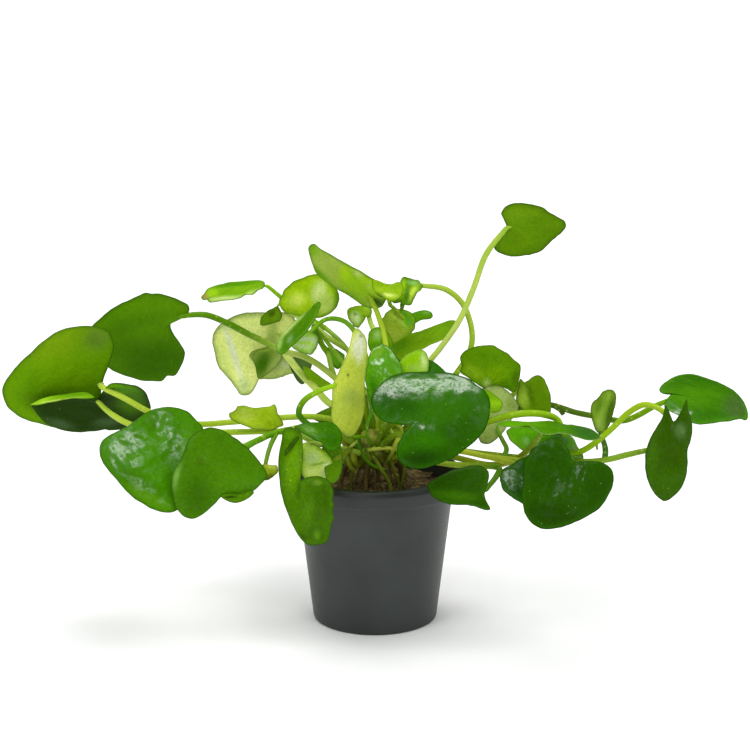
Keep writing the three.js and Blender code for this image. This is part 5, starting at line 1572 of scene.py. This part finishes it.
def crownStubs():
    # short cut-off bases of old stalks, curling up from the lump
    random = np.random.default_rng(8)
    paths = []
    for _ in range(crown["stubs"]):
        angle = random.uniform(0, 2 * math.pi)
        height = random.uniform(*crown["stubHeights"])
        flat = math.sqrt(1 - height ** 2)
        way = np.array([flat * math.cos(angle), flat * math.sin(angle), height])
        start = crownCentre + way * crownSize * 0.85
        reach = random.uniform(*crown["stubLengths"])
        bend = unit(way + np.array([0, 0, 0.8]) + random.normal(size=3) * 0.3)
        elbow = start + way * reach * 0.6
        end = start + way * reach * 0.8 + bend * reach * 0.5
        points = catmullRom([start, elbow, end], 0.35)
        radius = crown["stubRadius"] * random.uniform(0.7, 1.15)
        radii = radius * np.linspace(1.15, 0.8, len(points))
        radii[-1] *= 0.6
        paths.append((points, radii))
    return paths


def shootPaths():
    # a fan of short young shoots that stand close together behind the front leaves
    random = np.random.default_rng(14)
    paths = []
    for k in range(crown["shoots"]):
        x = crown["shootLeft"] + crown["shootSpan"] * k / (crown["shoots"] - 1)
        y = random.uniform(*crown["shootDepths"])
        top = crown["shootTop"] + random.uniform(*crown["shootTops"])
        points = catmullRom([(x * 0.45, y * 0.3, 58), (x * 0.7 + random.normal() * 0.5, y * 0.6, 64),
                             (x + random.normal() * 0.8, y, top)], 0.6)
        taper = np.interp(np.linspace(0, 1, len(points)), (0, 0.6, 1), (1.1, 1, 0.35))
        paths.append((points, crown["shootRadius"] * taper))
    return paths


def legPaths():
    # short thick legs from the lump down into the plug
    paths = []
    centreHeight = crown["centre"][2]
    foot = plug["top"] + 0.2
    for x, y, dx, dy in crown["legs"]:
        points = catmullRom([
            (x * 0.8, y * 0.8, centreHeight - 1),
            (x + 0.7 * dx, y + 0.7 * dy, (centreHeight + plug["top"]) / 2),
            (x + dx, y + dy, foot + 1.2),
            (x + 1.05 * dx, y + 1.05 * dy, foot - 1.5),
        ], 0.6)
        paths.append((points, crown["legRadius"] * np.linspace(1.05, 0.6, len(points))))
    return paths


def threadPaths():
    # fine roots that come down around the legs and creep over the plug
    random = np.random.default_rng(21)
    paths = []
    for _ in range(crown["threads"]):
        angle = random.uniform(0, 2 * math.pi)
        way = np.array([math.cos(angle), math.sin(angle), 0])
        start = crownCentre + way * crownSize * (0.45, 0.45, 0) + np.array([0, 0, -4.5])
        spread = random.uniform(*crown["threadSpread"])
        middle = start + way * spread * 0.35 + np.array([random.normal() * 1.2, random.normal() * 1.2, -2.5])
        end = crownCentre * (1, 1, 0) + way * (4 + spread) + np.array([0, 0, plug["top"] + 0.15])
        creep = end + way * random.uniform(*crown["threadCreep"])
        creep = creep + np.array([random.normal() * 1.5, random.normal() * 1.5, -0.1])
        points = catmullRom([start, middle, end, creep], 0.5)
        paths.append((points, crown["threadRadius"] * np.linspace(1.3, 0.5, len(points))))
    return paths


def arcPaths():
    lines = [(catmullRom(points, 0.4), radius) for _, radius, *points in crown["arcs"]]
    return [(line, radius * np.linspace(1, 0.75, len(line))) for line, radius in lines]


def colourPairs(colours, stride, count):
    # a pair of colours for each tube, its root's and its end's
    return [(colours[k % len(colours)], colours[(k * stride + 1) % len(colours)]) for k in range(count)]


def crownPiece(name, paths, material, colourRows=()):
    piece = tubePiece(name, paths, *crown["tubes"][name], material)
    if colourRows:
        paintStalks(piece, paths, colourRows)
    finished(piece, "crown", "crown")


plug = {
    "top": 44, "floor": 2.3, "gap": 0.5, "shoulder": 1.8, "dip": 0.3, "waves": 10, "waveHeight": 0.11,
    "segments": 120, "discSides": 48, "fibres": 1500, "fibreLength": 3.4, "fibreReach": 22.5,
    "grains": 420, "grainSize": 1.0, "grainReach": 22.2,
}
finished(crownBody(), "crown", "crown")
crownPiece("oldStalkBases", crownStubs(), stemMaterial, colourPairs(crown["colours"], 3, crown["stubs"]))
crownPiece("youngShoots", shootPaths(), stemMaterial, colourPairs(crown["shootColours"], 2, crown["shoots"]))
crownPiece("stalkBases", arcPaths(), stemMaterial, [colours for colours, *_ in crown["arcs"]])
crownPiece("crownLegs", legPaths(), rootMaterial)
crownPiece("rootThreads", threadPaths(), rootMaterial)


print("pot and growing medium")
pot = {
    "height": 50, "baseRadius": 20, "bodyRadius": 25.5, "rimRadius": 28.5, "rimHeight": 6, "wall": 1.3,
    "floor": 2, "segments": 128, "footHeight": 1.0, "hollow": 0.6,
}
rimFoot = pot["height"] - pot["rimHeight"]
potSlope = (pot["bodyRadius"] - pot["baseRadius"]) / rimFoot


def innerRadius(z):
    # of the pot's wall at a height
    return pot["baseRadius"] + potSlope * z - pot["wall"]


def roundedProfile(corners, count=5):
    # corners are (radius, height, rounding); each becomes a short arc
    out = []
    for i, (r, z, rounding) in enumerate(corners):
        here = np.array([r, z], float)
        if rounding <= 0 or i in (0, len(corners) - 1):
            out.append(here)
            continue
        before = unit(np.array(corners[i - 1][:2]) - here) * rounding
        after = unit(np.array(corners[i + 1][:2]) - here) * rounding
        for t in np.linspace(0, 1, count):
            out.append((1 - t) ** 2 * (here + before) + 2 * t * (1 - t) * here + t ** 2 * (here + after))
    return out


def turned(name, profile, material, segments):
    # the profile runs from the axis underneath, outwards and back to the axis on top
    angles = np.linspace(0, 2 * math.pi, segments, endpoint=False)
    vertices, faces = [], []
    rings = profile[1:-1]
    for r, z in rings:
        vertices += [(r * math.cos(a), r * math.sin(a), z) for a in angles]
    for k in range(len(rings) - 1):
        for i in range(segments):
            j = (i + 1) % segments
            faces.append((k * segments + i, k * segments + j, (k + 1) * segments + j, (k + 1) * segments + i))
    vertices += [(0, 0, profile[0][1]), (0, 0, profile[-1][1])]
    low, high = len(vertices) - 2, len(vertices) - 1
    last = (len(rings) - 1) * segments
    for i in range(segments):
        j = (i + 1) % segments
        faces.append((low, j, i))
        faces.append((high, last + i, last + j))
    return addMesh(name, vertices, faces, material)


def potFinish():
    finish = Finish("potPlastic", IOR=1.46)
    cloud = finish.noise(18, 3)
    finish.feed("Base Color", finish.mix(finish.shade(0.35, 0.7, cloud), "#232726", "#2c312f"))
    scuffs = finish.shade(0.55, 0.8, finish.noise(1.1, 4))
    finish.feed("Roughness", 0.4 + 0.14 * scuffs + 0.08 * cloud)
    fine = finish.bump(finish.noise(0.35, 2), 0.03, 0.8)
    finish.feed("Normal", finish.bump(finish.noise(7, 1), 0.06, 0.6, fine))
    return finish.material


# from the hollow underneath, up the outside, over the rim and down the inside: radius, height, rounding
potProfile = roundedProfile([
    (0, pot["hollow"], 0), (pot["baseRadius"] - 2.2, pot["hollow"], 0.3), (pot["baseRadius"] - 1.8, 0, 0.3),
    (pot["baseRadius"], 0, 0.4), (pot["baseRadius"] + 0.3, pot["footHeight"], 0.2),
    (pot["bodyRadius"] - 0.1, rimFoot, 0.25), (pot["rimRadius"] - 0.3, rimFoot, 0.35),
    (pot["rimRadius"], rimFoot + 0.9, 0.4), (pot["rimRadius"], pot["height"] - 1.2, 0.7),
    (pot["rimRadius"] - 1.0, pot["height"], 0.7), (innerRadius(pot["height"]), pot["height"], 0.6),
    (innerRadius(pot["height"] - 3), pot["height"] - 3, 0.3), (innerRadius(pot["floor"]), pot["floor"], 0.8),
    (0, pot["floor"], 0),
])
finished(turned("potShell", potProfile, potFinish(), pot["segments"]), "pot", "pot")


def plugFinish():
    finish = Finish("growingMedium", Roughness=0.85, IOR=1.35)
    tone = finish.ramp(finish.noise(1.6, 5, 0.65), (0.3, "#2e2413"), (0.48, "#55452a"),
                       (0.62, "#786540"), (0.8, "#9a8a5c"))
    finish.feed("Base Color", tone)
    finish.feed("Roughness", 0.7 + 0.25 * finish.noise(2))
    finish.feed("Normal", finish.bump(finish.noise(0.6, 4, 0.7), 0.5, 1.0))
    return finish.material


def fibreFinish():
    finish = Finish("fibre", Roughness=0.75, IOR=1.35)
    tone = finish.ramp(finish.noise(5, 2), (0.3, "#4a3a1e"), (0.5, "#7a6436"),
                       (0.7, "#a8925c"))
    streak = finish.shade(0.5, 0.8, finish.noise(0.3, 2))
    finish.feed("Base Color", finish.mix(streak * 0.4, tone, "#3a2c14"))
    finish.feed("Roughness", 0.65 + 0.2 * finish.noise(1))
    finish.feed("Normal", finish.bump(finish.noise(0.25, 2), 0.06, 0.8))
    return finish.material


plugMaterial = plugFinish()
fibreMaterial = fibreFinish()


def plugBody():
    # a round shoulder, then a disc of many rings with a rough height
    top = plug["top"]
    low = top - plug["shoulder"]
    edge = innerRadius(top) - plug["gap"]
    random = np.random.default_rng(3)
    waves = [(random.uniform(0, looseTurn), random.uniform(2.5, 9), random.uniform(0, looseTurn))
             for _ in range(plug["waves"])]
    profile = [(0, plug["floor"]), (innerRadius(plug["floor"]) - plug["gap"], plug["floor"]), (edge - 0.3, low)]
    profile += [(edge - 0.3 - d, low + 1.5 * math.sin(min(1, d / 3) * math.pi / 2))
                for d in (0.4, 0.9, 1.5, 2.2, 3)]
    profile += [(r, top - plug["dip"]) for r in np.linspace(edge - 4, 0.6, 22)] + [(0, top - plug["dip"])]
    piece = turned("growingMedium", profile, plugMaterial, plug["segments"])
    for vertex in piece.data.vertices:
        x, y, z = [c / mm for c in vertex.co]
        if z > low - 0.1:
            rise = sum(math.sin((x * math.cos(a) + y * math.sin(a)) * 2 * math.pi / p + q) for a, p, q in waves)
            vertex.co.z += plug["waveHeight"] * rise * mm
    return piece


def scatterTree(kind):
    # small fibres or grains strewn over the faces that look up
    tree = newTree("strew" + kind, [
        ("Count", "Float", 1000.0), ("Size", "Float", 0.002), ("Seed", "Int", 1),
        ("Material", "Material", None),
    ])
    make = TreeMaker(tree)
    given = make.inputs
    points = make.node("DistributePointsOnFaces", None,
                       {"Mesh": given["Geometry"], "Density": given["Count"], "Seed": given["Seed"]})
    if kind == "Fibres":
        start = make.node("CurvePrimitiveBezierSegment", None, {
            "Resolution": 5, "Start": (-0.5, 0, 0), "Start Handle": (-0.2, 0.25, 0.12),
            "End Handle": (0.2, -0.2, 0.1), "End": (0.5, 0.1, 0)})
        ring = make.node("CurvePrimitiveCircle", None, {"Resolution": 4, "Radius": 0.035})
        shape = make.node("CurveToMesh", None,
                          {"Curve": start.outputs[0], "Profile Curve": ring.outputs[0], "Fill Caps": True})
        lean = 0.35
    else:
        ball = make.node("MeshIcoSphere", None, {"Radius": 0.5, "Subdivisions": 2})
        lumpy = make.node("ShaderNodeTexNoise", None, {"Scale": 1.6})
        shape = make.node("SetPosition", None,
                          {"Geometry": ball.outputs[0], "Offset": make.centred(lumpy.outputs["Color"], 0.7)})
        lean = 3.1
    # lean is how far a fibre or grain may turn out of the level, in radians; it turns freely around Z
    turn = make.node("FunctionNodeRandomValue", {"data_type": "FLOAT_VECTOR"}, {
        0: (-lean, -lean, 0.0), 1: (lean, lean, looseTurn), "Seed": given["Seed"]})
    size = make.node("FunctionNodeRandomValue", {"data_type": "FLOAT"},
                     {2: 0.45, 3: 1.25, "Seed": given["Seed"]})
    scaled = make.node("ShaderNodeMath", {"operation": "MULTIPLY"}, {0: size.outputs[1], 1: given["Size"]})
    strewn = make.node("InstanceOnPoints", None, {
        "Points": points.outputs[0], "Instance": shape.outputs[0], "Rotation": turn.outputs[0],
        "Scale": scaled.outputs[0]})
    return make.finish(strewn.outputs[0], given["Material"])


def topDisc(name, radius, height):
    # a level disc that the fibres or grains are strewn on
    sides = plug["discSides"]
    angles = np.linspace(0, 2 * math.pi, sides, endpoint=False)
    vertices = [(0, 0, height)] + [(radius * math.cos(a), radius * math.sin(a), height) for a in angles]
    faces = [(0, 1 + i, 1 + (i + 1) % sides) for i in range(sides)]
    return addMesh(name, vertices, faces, plugMaterial)


finished(plugBody(), "plug", "plug")
discArea = math.pi * (plug["fibreReach"] * mm) ** 2
fibres = runTree(topDisc("fibres", plug["fibreReach"], plug["top"] - 0.25), scatterTree("Fibres"), {
    "Count": plug["fibres"] / discArea, "Size": plug["fibreLength"] * mm, "Seed": 4, "Material": fibreMaterial})
finished(fibres, "plug", "plug")
grains = runTree(topDisc("grains", plug["grainReach"], plug["top"] - 0.3), scatterTree("Grains"), {
    "Count": plug["grains"] / discArea, "Size": plug["grainSize"] * mm, "Seed": 9, "Material": plugMaterial})
finished(grains, "plug", "plug")
